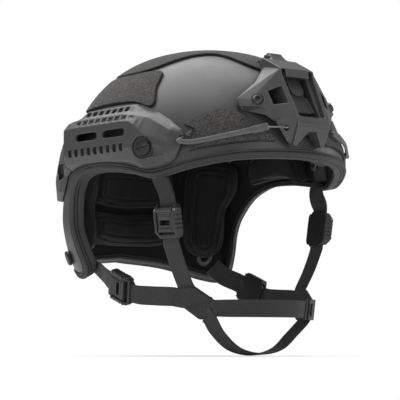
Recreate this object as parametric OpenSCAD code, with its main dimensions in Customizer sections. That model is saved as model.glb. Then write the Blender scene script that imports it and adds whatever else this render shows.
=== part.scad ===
/* [Shell] */
// Reach of the shell in front of the centre, at its widest level
front_reach = 139.4; // [136:0.2:144]
// Reach of the shell behind the centre, at its widest level
rear_reach = 142.6; // [138:0.2:147]
// Half the width of the shell at its widest level
half_width = 120.6; // [118:0.2:125]
// Depth of the widest level under the brow edge
widest_depth = 47.2; // [45:0.2:50]
// Rise of the crown above the widest level
dome_rise = 152.4; // [149:0.2:158]
// Fall that the lower part would need to close below
lower_fall = 100.4; // [98:0.2:104]
// Thickness of the shell wall
shell_wall = 7.5; // [6.6:0.1:8.4]
// Depth of the ear cuts under the brow edge, at their top
ear_top = 9.5; // [8:0.5:12]
// Depth of the rear corners under the brow edge
corner_depth = 104; // [101:0.5:106]
// Depth of the nape edge under the brow edge
nape_depth = 84.6; // [80:0.2:90]

/* [Edge trim] */
// Thickness of the rubber trim on the faces of the shell
trim_wall = 1.6; // [1.2:0.1:2.2]
// Height of the trim's lips along the faces
trim_lip = 4.4; // [4:0.2:5.2]
// Thickness of the trim under the edge of the shell
trim_floor = 2; // [1.4:0.1:2.6]

/* [Hook and loop] */
// Thickness of the loop panels on the shell
loop_t = 1.9; // [1.2:0.1:2.4]
// Thickness of the hook discs that hold the pads
hook_t = 0.7; // [0.5:0.1:0.9]

/* [Pads] */
// Thickness of the pads over the ears
side_pad_t = 17; // [12:0.5:19]
// Thickness of the rear and nape pads
rear_pad_t = 18; // [12:0.5:20]
// Thickness of the brow pad
brow_pad_t = 16; // [12:0.5:18]
// Thickness of the crown pad
crown_pad_t = 15; // [10:0.5:18]

/* [Side rails] */
// Stand-off of the flat rail face from the widest part of the shell
rail_standoff = 3.4; // [3:0.1:4.6]
// Wall behind the flat rail face
rail_wall = 3.4; // [2.6:0.1:4]
// Length of one accessory slot
slot_l = 32; // [30:0.5:34]
// Height of one accessory slot
slot_h = 7; // [6.5:0.1:8]
// Distance between the two accessory slots
slot_pitch = 40; // [38:0.5:42]
// Step between the small openings of the three rows
row_pitch = 9.5; // [9:0.1:10]
// Width of the small openings
row_w = 5.4; // [4:0.1:6]

/* [Screws] */
// Diameter of the slotted screw heads
big_head_d = 14; // [12:0.5:15]
// Diameter of the slotted screws' shanks
big_shank_d = 8; // [6:0.5:8.5]
// Diameter of the button head screws of the shroud
small_head_d = 9.5; // [8:0.5:10.5]
// Diameter of the button head screws' shanks
small_shank_d = 5; // [4:0.5:6]

/* [Shroud] */
// Half the width of the mounting recess
recess_half = 14.5; // [12:0.5:16]
// Thickness of the two ribs beside the recess
rib_t = 5; // [3.6:0.2:6]

/* [Webbing] */
// Width of the webbing
web_w = 19; // [17:0.5:19.5]
// Thickness of the webbing
web_t = 1.6; // [1.2:0.1:2]

/* [Adjusters] */
// Length of an adjuster's frame
adj_l = 34; // [32:0.5:37]
// Thickness of an adjuster's side walls
adj_side = 2.6; // [2:0.1:3]
// Diameter of the lever pins
pin_d = 2.4; // [2:0.1:2.8]

/* [Buckle] */
// Length of the buckle's socket
socket_l = 22; // [20:0.5:24]
// Thickness of the buckle
buckle_t = 8; // [7.6:0.2:9]

/* [Hidden] */
// How far the shell is stretched from the one that the typed places were drawn on
front_share = front_reach / 139.4;
rear_share = rear_reach / 142.6;
width_share = half_width / 120.6;
depth_share = widest_depth / 47.2;
rise_share = dome_rise / 152.4;

// Colours
shell_grey = [0.27, 0.275, 0.28];
rubber_grey = [0.2, 0.2, 0.205];
loop_grey = [0.2, 0.2, 0.18];
moulded_grey = [0.25, 0.255, 0.26];
steel_black = [0.12, 0.12, 0.13];
fabric_black = [0.05, 0.05, 0.055];
web_grey = [0.17, 0.17, 0.175];

// Clearances
seat_gap = 0.3;
edge_gap = 0.6;
run_gap = 0.4;
wall_gap = 1;
loop_gap = 0.5;
pin_clear = 0.05;
bore_clear = 0.3;

// Shape of the dome: how square the side view and the plan are
side_power = 2.41;
plan_power = 2.13;
widest_level = -widest_depth;
// The shell's own edge, as turn from the front in degrees and height
rim_points = [[0, 0], [25, -2.8], [44, -10], [61, -18.7], [75, -13.2], [90, -ear_top],
    [104, -ear_top - 0.8],
    [114.5, -20], [121.2, -38], [124.2, -56], [124.8, -78], [126.4, -corner_depth + 8.5],
    [132.5, -corner_depth], [142, -corner_depth + 2.6], [160, -nape_depth - 5], [180, -nape_depth]];
// How far the sides draw in towards the ear cuts, per millimetre under the brow edge
pinch_rate = 0.15;
pinch_start = 12;
pinch_turn = 146;
pinch_span = 21;
rim_steps = 3;
shell_rows = 9;
mm_per_degree = 2.2;

// Points and vectors
function unit(v) = v / norm(v);
function mix(a, b, t) = a + (b - a) * t;
function flat(list) = [for (part = list) each part];
function mirrored(p) = [-p.x, p.y, p.z];
function catmull(a, b, c, d, t) = 0.5 * (2 * b + (c - a) * t + (2 * a - 5 * b + 4 * c - d) * t * t
    + (3 * b - a - 3 * c + d) * t * t * t);
// A smooth open line through the points, with n steps between two of them
function smooth_line(p, n) = let (k = len(p) - 1)
    concat([for (i = [0:k - 1], s = [0:n - 1])
        catmull(i > 0 ? p[i - 1] : 2 * p[0] - p[1], p[i], p[i + 1], i < k - 1 ? p[i + 2] : 2
        * p[k] - p[k - 1], s / n)],
        [p[k]]);
// A smooth closed line through the points
function smooth_loop(p, n) = let (k = len(p))
    [for (i = [0:k - 1], s = [0:n - 1])
        catmull(p[(i + k - 1) % k], p[i], p[(i + 1) % k], p[(i + 2) % k], s / n)];

// The drawing-in at the ear cuts, with a slight fullness of the rear corners behind it
function pinch(turn, z) = let (t = abs(turn) > 180 ? 360 - abs(turn) : abs(turn),
    ramp = t < 112 ? 0 : min(max((pinch_turn - t) / pinch_span, 0), 1.1),
    corner = t < 112 ? 0 : 2.2 * exp(-pow((t - 137) / 13, 2) - pow((z + 46) / 20, 2)))
    min(max(-pinch_start - z, 0), 88) * pinch_rate * ramp * ramp - corner;
// The shell's surface, by turn from the front, latitude angle and offset outwards
function plan_r(turn, off) = let (a = (cos(turn) > 0 ? front_reach : rear_reach) + off, b = half_width
    + off)
    pow(pow(abs(sin(turn)) / b, plan_power) + pow(abs(cos(turn)) / a, plan_power), -1 / plan_power);
function on_dome(turn, lat, off) = let (rise = lat > 0 ? dome_rise : -lower_fall,
    z = widest_level + (rise + sign(rise) * off) * pow(abs(sin(lat)), 2 / side_power),
    r = plan_r(turn, off) * pow(cos(lat), 2 / side_power) - pinch(turn, z))
    [r * sin(turn), -r * cos(turn), z];
function lat_of(z) = let (up = z - widest_level, t = min(abs(up) / (up > 0 ? dome_rise : lower_fall), 1))
    sign(up) * asin(pow(t, side_power / 2));
// A place given by its turn from the front and its height on the shell's face
function on_side(turn, z, off) = on_dome(turn, lat_of(z), off);
// A place given by its plan position on the shell's face
function on_top(x, y, off) = let (turn = atan2(x, -y), g = min(norm([x, y]) / plan_r(turn, 0), 1))
    on_dome(turn, acos(pow(g, side_power / 2)), off);
function normal_at(turn, z) = let (p = on_side(turn, z, 0),
    east = on_side(turn + 0.5, z, 0) - p, north = on_side(turn, z + 0.5, 0) - p) unit(cross(east, north));
// Half width of the grown shell at a place along it and a height
function shell_x(y, z, off) = let (up = z - widest_level, h = (up > 0 ? dome_rise : lower_fall) + off,
    g = pow(1 - pow(min(abs(up) / h, 1), side_power), plan_power / side_power),
    a = (y < 0 ? front_reach : rear_reach) + off)
    (half_width + off) * pow(max(g - pow(abs(y) / a, plan_power), 0.0001), 1 / plan_power);

// The edge all the way round, and the same line moved into the shell's face
rim_half = smooth_line(rim_points, rim_steps);
rim_line = concat(rim_half, [for (i = [len(rim_half) - 2:-1:1]) [360 - rim_half[i][0], rim_half[i][1]]]);
rim_count = len(rim_line);
function rim_at(i, inset) = let (p = rim_line[i], q = rim_line[(i + 1) % rim_count],
    o = rim_line[(i + rim_count - 1) % rim_count],
    du = ((q[0] - o[0] + 540) % 360 - 180) * mm_per_degree, dz = q[1] - o[1], l = norm([du, dz]))
    [p[0] - dz / l * inset / mm_per_degree, p[1] + du / l * inset];

// Faces of a grid of points with the given rows and columns, turned over where asked
function grid_faces(first, rows, cols, closed, turned) =
    [for (i = [0:rows - 2], j = [0:cols - (closed ? 1 : 2)])
        let (a = first + i * cols + j, b = first + i * cols + (j + 1) % cols, c = b + cols, d = a + cols)
        each (turned ? [[a, c, b], [a, d, c]] : [[a, b, c], [a, c, d]])];
// The same faces, turned over where asked
function turn_over(faces, over) = over ? [for (f = faces) [f[2], f[1], f[0]]] : faces;
// A solid between an outer and an inner sheet, each a list of stations with equal numbers of points
module slab(outer, inner, closed) {
    o = outer[0][0];
    over = cross(outer[0][1] - o, outer[1][0] - o) * (o - inner[0][0]) < 0;
    rows = len(outer);
    cols = len(outer[0]);
    base = rows * cols;
    last = closed ? rows - 1 : rows - 2;
    ends = closed ? [] : [for (j = [0:cols - 2]) each [[j, j + 1, base + j + 1], [j, base + j + 1, base
        + j]]];
    tail = (rows - 1) * cols;
    tails = closed ? [] : [for (j = [0:cols - 2])
        each [[tail + j, base + tail + j + 1, tail + j + 1], [tail + j, base + tail + j, base + tail + j
        + 1]]];
    skin = [for (i = [0:last], j = [0:cols - 2])
        let (n = (i + 1) % rows, a = i * cols + j, b = a + 1, d = n * cols + j, c = d + 1)
        each [[a, c, b], [a, d, c], [base + a, base + b, base + c], [base + a, base + c, base + d]]];
    sides = [for (i = [0:last])
        let (n = (i + 1) % rows, a = i * cols, d = n * cols, e = a + cols - 1, f = d + cols - 1)
        each [[a, base + a, base + d], [a, base + d, d], [e, base + f, base + e], [e, f, base + f]]];
    polyhedron(points = concat(flat(outer), flat(inner)), faces = turn_over(concat(skin, sides, ends,
        tails), over),
        convexity = 6);
}
// A piece that lies on the shell: its outline, its middle, and a row of [share of the way out, height share]
module patch(outline, middle, top_kind, base_off, thick, profile, base_rings) {
    n = len(outline);
    rings = len(profile);
    function place(f, k, off) = let (q = mix(middle, outline[k], f))
        top_kind ? on_top(q[0], q[1], off) : on_side(q[0], q[1], off);
    upper = [for (r = profile, k = [0:n - 1]) place(r[0], k, base_off + thick * r[1])];
    lower = [for (r = [1:base_rings], k = [0:n - 1]) place(r / base_rings, k, base_off)];
    low = len(upper);
    top_mid = low + len(lower);
    faces_up = concat(
        [for (k = [0:n - 1]) [top_mid, (k + 1) % n, k]],
        grid_faces(0, rings, n, true, false));
    faces_low = concat(
        [for (k = [0:n - 1]) [top_mid + 1, low + k, low + (k + 1) % n]],
        base_rings > 1 ? grid_faces(low, base_rings, n, true, true) : []);
    edge_up = (rings - 1) * n;
    edge_low = low + (base_rings - 1) * n;
    wall = [for (k = [0:n - 1]) let (m = (k + 1) % n)
        each [[edge_up + k, edge_up + m, edge_low + m], [edge_up + k, edge_low + m, edge_low + k]]];
    n_sum = [for (k = [0:n - 1]) let (a = outline[k], b = outline[(k + 1) % n]) a[0] * b[1] - a[1] * b[0]];
    around = n_sum * [for (k = [0:n - 1]) 1];
    polyhedron(points = concat(upper, lower, [place(0, 0, base_off + thick * profile[0][1]),
        place(0, 0, base_off)]),
        faces = turn_over(concat(faces_up, faces_low, wall), (around < 0) != (thick < 0)), convexity = 6);
}
// A flat band along a path, with the outward direction given at each point
module band(path, outs, w, t) {
    n = len(path);
    function along(i) = unit(path[min(i + 1, n - 1)] - path[max(i - 1, 0)]);
    function across(i) = unit(cross(along(i), outs[i]));
    function face(i) = unit(cross(across(i), along(i)));
    outer = [for (i = [0:n - 1]) [path[i] - across(i) * w / 2 + face(i) * t / 2, path[i] + across(i)
        * w / 2 + face(i) * t / 2]];
    inner = [for (i = [0:n - 1]) [path[i] - across(i) * w / 2 - face(i) * t / 2, path[i] + across(i)
        * w / 2 - face(i) * t / 2]];
    slab(outer, inner, false);
}
// A round wire along a path
module wire(path, d, sides) {
    n = len(path);
    function along(i) = unit(path[min(i + 1, n - 1)] - path[max(i - 1, 0)]);
    rings = [for (i = [0:n - 1]) let (t = along(i), u = unit(cross(t, [0.1, 0.2, 1])), v = cross(t, u))
        for (k = [0:sides - 1]) path[i] + (u * cos(k * 360 / sides) + v * sin(k * 360 / sides)) * d / 2];
    faces = concat(grid_faces(0, n, sides, true, false),
        [for (k = [1:sides - 2]) [0, k + 1, k]],
        [for (k = [1:sides - 2]) let (b = (n - 1) * sides) [b, b + k, b + k + 1]]);
    polyhedron(points = rings, faces = turn_over(faces, true), convexity = 6);
}
// Stands children at a place with their Z along up, and their Y towards out
module stand(origin, up, out) {
    z = unit(up);
    x = unit(cross(out, z));
    y = cross(z, x);
    multmatrix([[x.x, y.x, z.x, origin.x], [x.y, y.y, z.y, origin.y], [x.z, y.z, z.z, origin.z],
        [0, 0, 0, 1]])
        children();
}
// The same on the other side of the helmet
module left_of() {
    mirror([1, 0, 0]) children();
}
module both() {
    children();
    mirror([1, 0, 0]) children();
}

// Screw places, as turn, height and outward direction of the axis
rail_face = half_width + rail_standoff;
// Heights between these two are drawn on the first shell, and are raised or lowered with the dome's rise
face_low = 22;
face_high = 79;
function raise_from(low, high, z) = z < low ? z
    : mix(low, (high + widest_depth / depth_share) * rise_share - widest_depth, (z - low) / (high - low));
function raise(z) = raise_from(face_low, face_high, z);
// The shroud's places follow the shell's face when that moves
function drawn_climb(z) = pow((z + widest_depth / depth_share) / (dome_rise / rise_share), side_power / 2);
function drawn_face(z) = -front_reach / front_share * pow(cos(asin(drawn_climb(z))), 2 / side_power);
move_low = on_side(0, face_low, 0).y - drawn_face(face_low);
move_high = on_side(0, raise(face_high), 0).y - drawn_face(face_high);
function follow_y(y, z) = y + mix(move_low, move_high, (z - face_low) / (face_high - face_low));
function follow(p) = [p.x, follow_y(p.y, p.z), raise(p.z)];

front_screw_turn = -65;
front_screw_z = 6;
front_screw_out = [sin(front_screw_turn), -cos(front_screw_turn), 0];
rear_screw_turn = -129.5;
rear_screw_z = 21;
rear_screw_out = normal_at(rear_screw_turn, rear_screw_z);
nape_screw_turn = -138;
nape_screw_z = -84;
nape_screw_out = normal_at(nape_screw_turn, nape_screw_z);
shroud_screw_turn = -18.8;
shroud_screw_z = raise(42.6);
shroud_screw_out = unit([-0.42, -0.78, 0.46]);
head_t = 3.6;
pocket_depth = 2.4;
front_screw_seat = on_side(front_screw_turn, front_screw_z, 0) + front_screw_out * 6.6;
rear_screw_seat = on_side(rear_screw_turn, rear_screw_z, 0) + rear_screw_out * 5.6;
nape_screw_seat = on_side(nape_screw_turn, nape_screw_z, 0) + nape_screw_out * seat_gap;
shroud_screw_seat = on_side(shroud_screw_turn, shroud_screw_z, 0) + shroud_screw_out * 10.4;
nut_flange_t = 1.2;
anchor_t = 1.5;
nut_flange_d = big_head_d + 2;
inner_face = -shell_wall;
// Flat hook discs on the curved wall, and pads that start under the discs
disc_sag = 1.28;
disc_off = inner_face - seat_gap - disc_sag;
pad_base = disc_off - hook_t - seat_gap;

module bore_along(seat, out, d, depth) {
    stand(seat + out * depth / 2, out, [0, 0.1, 1]) translate([0, 0, -depth]) cylinder(d = d, h = depth,
        $fn = 36);
}

// The shell
module shell_body() {
    start = [for (i = [0:rim_count - 1]) rim_at(i, trim_floor)];
    pole = 88;
    function lat_row(i, r) = let (low = lat_of(start[i][1]), f = r / shell_rows) mix(low, pole, f);
    outer = [for (r = [0:shell_rows], i = [0:rim_count - 1]) on_dome(start[i][0], lat_row(i, r), 0)];
    inner = [for (r = [0:shell_rows], i = [0:rim_count - 1]) on_dome(start[i][0], lat_row(i, r),
        inner_face)];
    n = rim_count;
    half = len(outer);
    top = shell_rows * n;
    pole_out = 2 * half;
    pole_in = pole_out + 1;
    polyhedron(points = concat(outer, inner, [on_dome(0, 90, 0), on_dome(0, 90, inner_face)]),
        faces = concat(
            grid_faces(0, shell_rows + 1, n, true, true),
            grid_faces(half, shell_rows + 1, n, true, false),
            [for (i = [0:n - 1]) [pole_out, top + (i + 1) % n, top + i]],
            [for (i = [0:n - 1]) [pole_in, half + top + i, half + top + (i + 1) % n]],
            [for (i = [0:n - 1]) let (m = (i + 1) % n) each [[i, half + m, half + i], [i, m, half + m]]]),
        convexity = 8);
}
module shell() {
    color(shell_grey) difference() {
        shell_body();
        both() {
            bore_along(front_screw_seat, front_screw_out, big_shank_d + 2 * bore_clear, 90);
            bore_along(rear_screw_seat, rear_screw_out, big_shank_d + 2 * bore_clear, 60);
            bore_along(nape_screw_seat, nape_screw_out, big_shank_d + 2 * bore_clear, 60);
            bore_along(shroud_screw_seat, shroud_screw_out, small_shank_d + 2 * bore_clear, 90);
        }
    }
}

// The rubber trim on the shell's edge
module edge_trim() {
    function section(i, list) = [for (q = list) let (p = rim_at(i, q[1])) on_side(p[0], p[1], q[0])];
    out_face = trim_wall;
    lip_gap = 1.2;
    in_face = inner_face - lip_gap - trim_wall + seat_gap;
    floor_top = trim_floor - seat_gap;
    outer_chain = [[out_face, trim_lip], [out_face, 1.4], [out_face - 1.4, 0], [in_face + 1.4, 0],
        [in_face, 1.4], [in_face, trim_lip]];
    inner_chain = [[seat_gap, trim_lip], [seat_gap, mix(floor_top, trim_lip, 0.5)], [seat_gap, floor_top],
        [inner_face - lip_gap, floor_top], [inner_face - lip_gap, mix(floor_top, trim_lip, 0.5)],
        [inner_face - lip_gap, trim_lip]];
    color(rubber_grey) slab([for (i = [0:rim_count - 1]) section(i, outer_chain)],
        [for (i = [0:rim_count - 1]) section(i, inner_chain)], true);
}

// Loop panels, with outlines in turn and height, or in plan
flat_profile = [[0.3, 1], [0.6, 1], [0.82, 1], [0.985, 1], [1, 0.7]];
side_loop_outline = [[-66, 62], [-66, 75], [-68, 78.4], [-75, 79.6], [-90, 79.2], [-107, 79.2],
    [-124, 78.6],
    [-137, 76.6], [-141, 68], [-140, 56], [-134, 51.5], [-118, 50.5], [-96, 50.5], [-80, 50], [-74, 48.2],
    [-70, 45.8], [-66.4, 43.8], [-64.4, 47], [-65, 54]];
front_loop_outline = [[-46.2, 1.2], [-42, 3.6], [-30, 7.6], [-19, 10.6], [-12.6, 11.4], [-16, 20],
    [-21, 28.5],
    [-27, 36.5], [-34.5, 38.6], [-40, 34.4], [-46, 28.6], [-48.6, 25.2], [-44.6, 20.5], [-44, 10],
    [-44.6, 4]];
crown_loop_half = [[-4.6, -79.6], [-7.8, -86.4], [-9.4, -90.8], [-12, -90.6], [-18.6, -84.6], [-24, -75],
    [-27.4, -63.4],
    [-32.4, -50], [-46, -39.6], [-60.4, -31.2], [-72.6, -19.2], [-77.6, -3], [-77.6, 14], [-73.6, 32],
    [-64.4, 51],
    [-48, 69], [-26, 81]];
crown_loop_drawn = concat([[0, -76.6]], crown_loop_half, [[0, 86]],
    [for (i = [len(crown_loop_half) - 1:-1:0]) [-crown_loop_half[i][0], crown_loop_half[i][1]]]);
crown_loop_outline = [for (q = crown_loop_drawn) [q.x * width_share, q.y * (q.y < 0 ? front_share : rear_share)]];
rear_loop_outline = [[-148, 30], [-147, 48], [-149, 66], [-156, 73], [-168, 74.5], [-180, 75], [-192, 74.5],
    [-204, 73], [-211, 66], [-213, 48], [-212, 30], [-204, 24], [-180, 22], [-156, 24]];
panel_low = 50;
panel_high = 79.6;
module loop_panel(outline, middle, top_kind) {
    drawn = top_kind ? outline : [for (q = outline) [q.x, raise_from(panel_low, panel_high, q.y)]];
    color(loop_grey) patch(smooth_loop(drawn, 2), middle, top_kind, loop_gap, loop_t, flat_profile,
        top_kind ? 6 : 4);
}
module crown_loop_panel() {
    loop_panel(crown_loop_outline, [0, 5], true);
}
module side_loop_panel_right() {
    loop_panel(side_loop_outline, [-96, 64], false);
}
module side_loop_panel_left() {
    left_of() side_loop_panel_right();
}
module front_loop_panel_right() {
    loop_panel(front_loop_outline, [-31, 20], false);
}
module front_loop_panel_left() {
    left_of() front_loop_panel_right();
}
module rear_loop_panel() {
    loop_panel(rear_loop_outline, [-180, 48], false);
}

// Side rails: stations from front to back, each with its place along the helmet, the height of its lower edge,
// and the outer corners as distance in from the flat face and height
rail_stations = [
    [-88, 3.5, [[31, 5], [30.6, 8], [30.5, 12], [31, 16.5], [31.8, 18], [32.6, 19]]],
    [-77, -8, [[18, -6], [15.2, 0], [14.8, 10], [18.8, 20.5], [22, 23], [24.2, 24]]],
    [-66, -12.6, [[11.4, -10], [9.4, 0], [9.6, 14], [15.6, 27], [19.4, 29.5], [22.2, 30.5]]],
    [-55, -13.4, [[6, -11], [3.8, 2], [4.6, 18], [13.2, 33], [17, 35.3], [20.4, 36.6]]],
    [-47, -12, [[5, -8], [0.8, 5], [0.8, 27], [9.6, 34.8], [15, 36.6], [18.6, 38.4]]],
    [-41, -9.6, [[4.2, -6], [0, 7], [0, 30], [5.8, 36.4], [11.6, 38.2], [16.6, 40.4]]],
    [-29, -6.4, [[4, -3.4], [0, 7], [0, 30.4], [4.6, 38], [10.6, 40.6], [14.4, 46.4]]],
    [0, -3.4, [[4, -1.4], [0, 7], [0, 30.4], [4.6, 38], [10.6, 40.6], [14.4, 46.4]]],
    [35, -3.6, [[4, -1.4], [0, 7], [0, 30.4], [4.6, 38], [10.6, 40.6], [14.4, 46.4]]],
    [46, -4.4, [[4, -1.4], [0, 7], [0, 30.4], [4.6, 37.4], [10.6, 39.4], [14.6, 41.6]]],
    [54, -6, [[4.4, -2.4], [0, 6], [0, 29.6], [4.8, 35.6], [10.2, 37.6], [14.4, 39.4]]],
    [59, -6.6, [[8, -3.4], [4.4, 3], [4.2, 27], [8.4, 33], [12, 35.2], [15.6, 36.8]]]];
rail_min = 1.6;
slot_z = 21.2;
slot_mid_y = 0;
row_low_z = 8.4;
row_low_mid_y = 7;
row_mid_y = -3.5;
row_top_mid_y = 3.5;
hollow_z = [12.4, 30];
module rail_body() {
    function outer_of(s) = [for (q = s[2]) let (x = max(rail_face - q[0], shell_x(s[0], q[1],
        rail_min))) [-x, s[0], q[1]]];
    function inner_of(s) = let (n = len(s[2]), low = s[1], high = s[2][n - 1][1] + 2)
        [for (j = [0:n - 1]) let (z = mix(low, high, j / (n - 1))) [-shell_x(s[0], z, edge_gap), s[0], z]];
    // more stations than driving ones, so that the inner face follows the shell
    dense = [for (i = [0:len(rail_stations) - 2], k = [0:1])
        let (a = rail_stations[i], b = rail_stations[i + 1]) [mix(a[0], b[0], k / 2), mix(a[1], b[1],
        k / 2), mix(a[2], b[2], k / 2)]];
    all = concat(dense, [rail_stations[len(rail_stations) - 1]]);
    slab([for (s = all) outer_of(s)], [for (s = all) inner_of(s)], false);
}
module accessory_slots() {
    for (side = [-1, 1])
        translate([-rail_face, slot_mid_y + side * slot_pitch / 2, slot_z]) rotate([0, 90, 0]) {
            hull_l = slot_l - slot_h;
            translate([0, 0, -rail_wall - 6]) linear_extrude(height = rail_wall + 12) {
                square([slot_h, hull_l], center = true);
                for (end = [-1, 1])
                    translate([0, end * hull_l / 2]) circle(d = slot_h, $fn = 24);
            }
        }
}
module rail_rows() {
    for (i = [-4:4]) {
        translate([-rail_face - 1, row_low_mid_y + i * row_pitch - row_w / 2, row_low_z - 3])
            cube([3.6, row_w, 6]);
        translate([-rail_face + 2.2, row_mid_y + i * row_pitch, 34.2]) rotate([0, 55, 0]) rotate([0, 0, 18])
            cube([4.4, row_w, 5], center = true);
    }
    for (i = [-3:3])
        translate([-rail_face + 12.4, row_top_mid_y + i * row_pitch, 43.4]) rotate([0, 30, 0])
            cube([5.4, row_w, 3.8], center = true);
}
module rail_right() {
    color(moulded_grey) difference() {
        rail_body();
        accessory_slots();
        rail_rows();
        translate([-rail_face + rail_wall, -42, hollow_z[0]]) cube([14, 92, hollow_z[1] - hollow_z[0]]);
        // seat of the lanyard's end
        stand(on_side(-51, 11.5, 3), normal_at(-50, 11.5), [0, 0, 1])
            translate([-9, -3, -0.4]) cube([24, 6, 20]);
        stand(front_screw_seat, front_screw_out, [0, 0, 1]) {
            cylinder(d = big_head_d + 6.4, h = 20, $fn = 48);
            translate([0, 0, -40]) cylinder(d = big_shank_d + 2 * bore_clear, h = 60, $fn = 36);
        }
    }
}
module rail_left() {
    left_of() rail_right();
}

// Rear arms of the rails: stations by turn, with low and high edges and stand-off
arm_stations = [[-118.2, -6, 26, 9], [-124, -10, 29, 9.5], [-131, -24, 30, 9.5], [-139, -31, 27, 8.5],
    [-148, -30, 14, 7],
    [-157, -27, 4, 6.5]];
module arm_body() {
    function chain(s, off) = [for (j = [0:5]) let (f = j / 5) on_side(s[0], mix(s[1], s[2], f),
        off == 0 ? edge_gap : off - (j == 0 || j == 5 ? 2.4 : 0))];
    dense = [for (i = [0:len(arm_stations) - 2], k = [0:1]) mix(arm_stations[i], arm_stations[i + 1],
        k / 2)];
    all = concat(dense, [arm_stations[len(arm_stations) - 1]]);
    slab([for (s = all) chain(s, s[3])], [for (s = all) chain(s, 0)], false);
}
window_turn = -130;
window_z = -2;
module rail_arm_right() {
    window_out = normal_at(window_turn, window_z);
    color(moulded_grey) difference() {
        arm_body();
        // butt joint with the rail
        translate([-rail_face - 10, 0, -60]) cube([60, rail_stations[len(rail_stations) - 1][0]
            + seat_gap, 120]);
        stand(on_side(window_turn, window_z, 0), window_out, [0, 0, 1]) linear_extrude(height = 30,
            center = true)
            polygon([[-7, -5], [6, -8], [7, 3], [-4, 7]]);
        stand(on_side(-143, -14, 0), normal_at(-143, -14), [0, 0, 1]) linear_extrude(height = 30,
            center = true)
            polygon([[-8, -7], [8, -6], [6, 6], [-8, 12]]);
        stand(rear_screw_seat, rear_screw_out, [0, 0, 1]) {
            cylinder(d = big_head_d + 3, h = 20, $fn = 48);
            translate([0, 0, -30]) cylinder(d = big_shank_d + 2 * bore_clear, h = 50, $fn = 36);
        }
    }
}
module rail_arm_left() {
    left_of() rail_arm_right();
}
// The bridge that joins both arms over the nape
bridge_turn = 157.4;
module rear_bridge() {
    function chain(turn, off) = [for (j = [0:4]) let (f = j / 4, low = -27 - 3 * cos((180 - abs(turn))
        * 4), high = 3)
        on_side(turn, mix(low, high, f), off - (off > 2 && (j == 0 || j == 4) ? 2 : 0))];
    turns = [for (i = [0:8]) mix(bridge_turn, 360 - bridge_turn, i / 8)];
    color(moulded_grey) difference() {
        slab([for (t = turns) chain(t, 6.2)], [for (t = turns) chain(t, edge_gap)], false);
        for (side = [-1, 0, 1])
            stand(on_side(180 + side * 11.5, -13, 0), normal_at(180 + side * 11.5, -13), [0, 0, 1])
                linear_extrude(height = 30, center = true) polygon([[-8, -6], [8, -6], [6, 7], [-6, 7]]);
    }
}

// Screws and nuts
module slotted_screw(seat, out, length) {
    stand(seat, out, [0, 0.3, 1]) difference() {
        union() {
            translate([0, 0, seat_gap]) cylinder(d = big_head_d, h = head_t - 0.8, $fn = 48);
            translate([0, 0, seat_gap + head_t - 0.8]) cylinder(d1 = big_head_d, d2 = big_head_d - 1.6,
                h = 0.8, $fn = 48);
            translate([0, 0, -length]) cylinder(d = big_shank_d, h = length + seat_gap + 0.1, $fn = 36);
        }
        translate([0, 0, head_t + seat_gap]) cube([big_head_d + 1, 1.7, 3.4], center = true);
    }
}
// Depth from a screw's seat to the shell's inner wall
function seat_depth(turn, z, out, lift) = lift + shell_wall / max(normal_at(turn, z) * out, 0.5);
front_depth = seat_depth(front_screw_turn, front_screw_z, front_screw_out, 6.6);
rear_depth = seat_depth(rear_screw_turn, rear_screw_z, rear_screw_out, 5.6);
nape_depth_in = seat_depth(nape_screw_turn, nape_screw_z, nape_screw_out, seat_gap);
shroud_depth = seat_depth(shroud_screw_turn, shroud_screw_z, shroud_screw_out, 10.4);
// The nuts' distances from the seats, through the wall and the anchor plates
nut_lift = 0.9;
front_nut = front_depth + wall_gap + anchor_t + nut_lift + 1.6;
rear_nut = rear_depth + nut_lift + 0.9;
nape_nut = nape_depth_in + wall_gap + anchor_t + nut_lift + 0.5;
shroud_nut = shroud_depth + nut_lift + 1;
shank_end = nut_flange_t + 0.2;
module rail_front_screws() {
    color(steel_black) both() slotted_screw(front_screw_seat, front_screw_out, front_nut + shank_end);
}
module rail_rear_screws() {
    color(steel_black) both() slotted_screw(rear_screw_seat, rear_screw_out, rear_nut + shank_end);
}
module nape_screws() {
    color(steel_black) both() slotted_screw(nape_screw_seat, nape_screw_out, nape_nut + shank_end);
}
module nut(seat, out, depth, hole, flange) {
    stand(seat - out * depth, -out, [0, 0.3, 1]) difference() {
        cylinder(d = flange, h = nut_flange_t, $fn = 40);
        translate([0, 0, -1]) cylinder(d = hole, h = nut_flange_t + 2, $fn = 30);
    }
}
module inner_nuts() {
    color(steel_black) both() {
        nut(front_screw_seat, front_screw_out, front_nut, big_shank_d + 2 * pin_clear, nut_flange_d - 2);
        nut(rear_screw_seat, rear_screw_out, rear_nut, big_shank_d + 2 * pin_clear, nut_flange_d);
        nut(nape_screw_seat, nape_screw_out, nape_nut, big_shank_d + 2 * pin_clear, nut_flange_d);
        nut(shroud_screw_seat, shroud_screw_out, shroud_nut, small_shank_d + 2 * pin_clear,
            nut_flange_d - 4);
    }
}
// The room that a pad leaves for a nut behind it
module nut_room(seat, out, depth) {
    stand(seat - out * (depth - 4), -out, [0, 0.3, 1]) cylinder(d = nut_flange_d + 2.4, h = 4
        + nut_flange_t + 1, $fn = 32);
}

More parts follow.
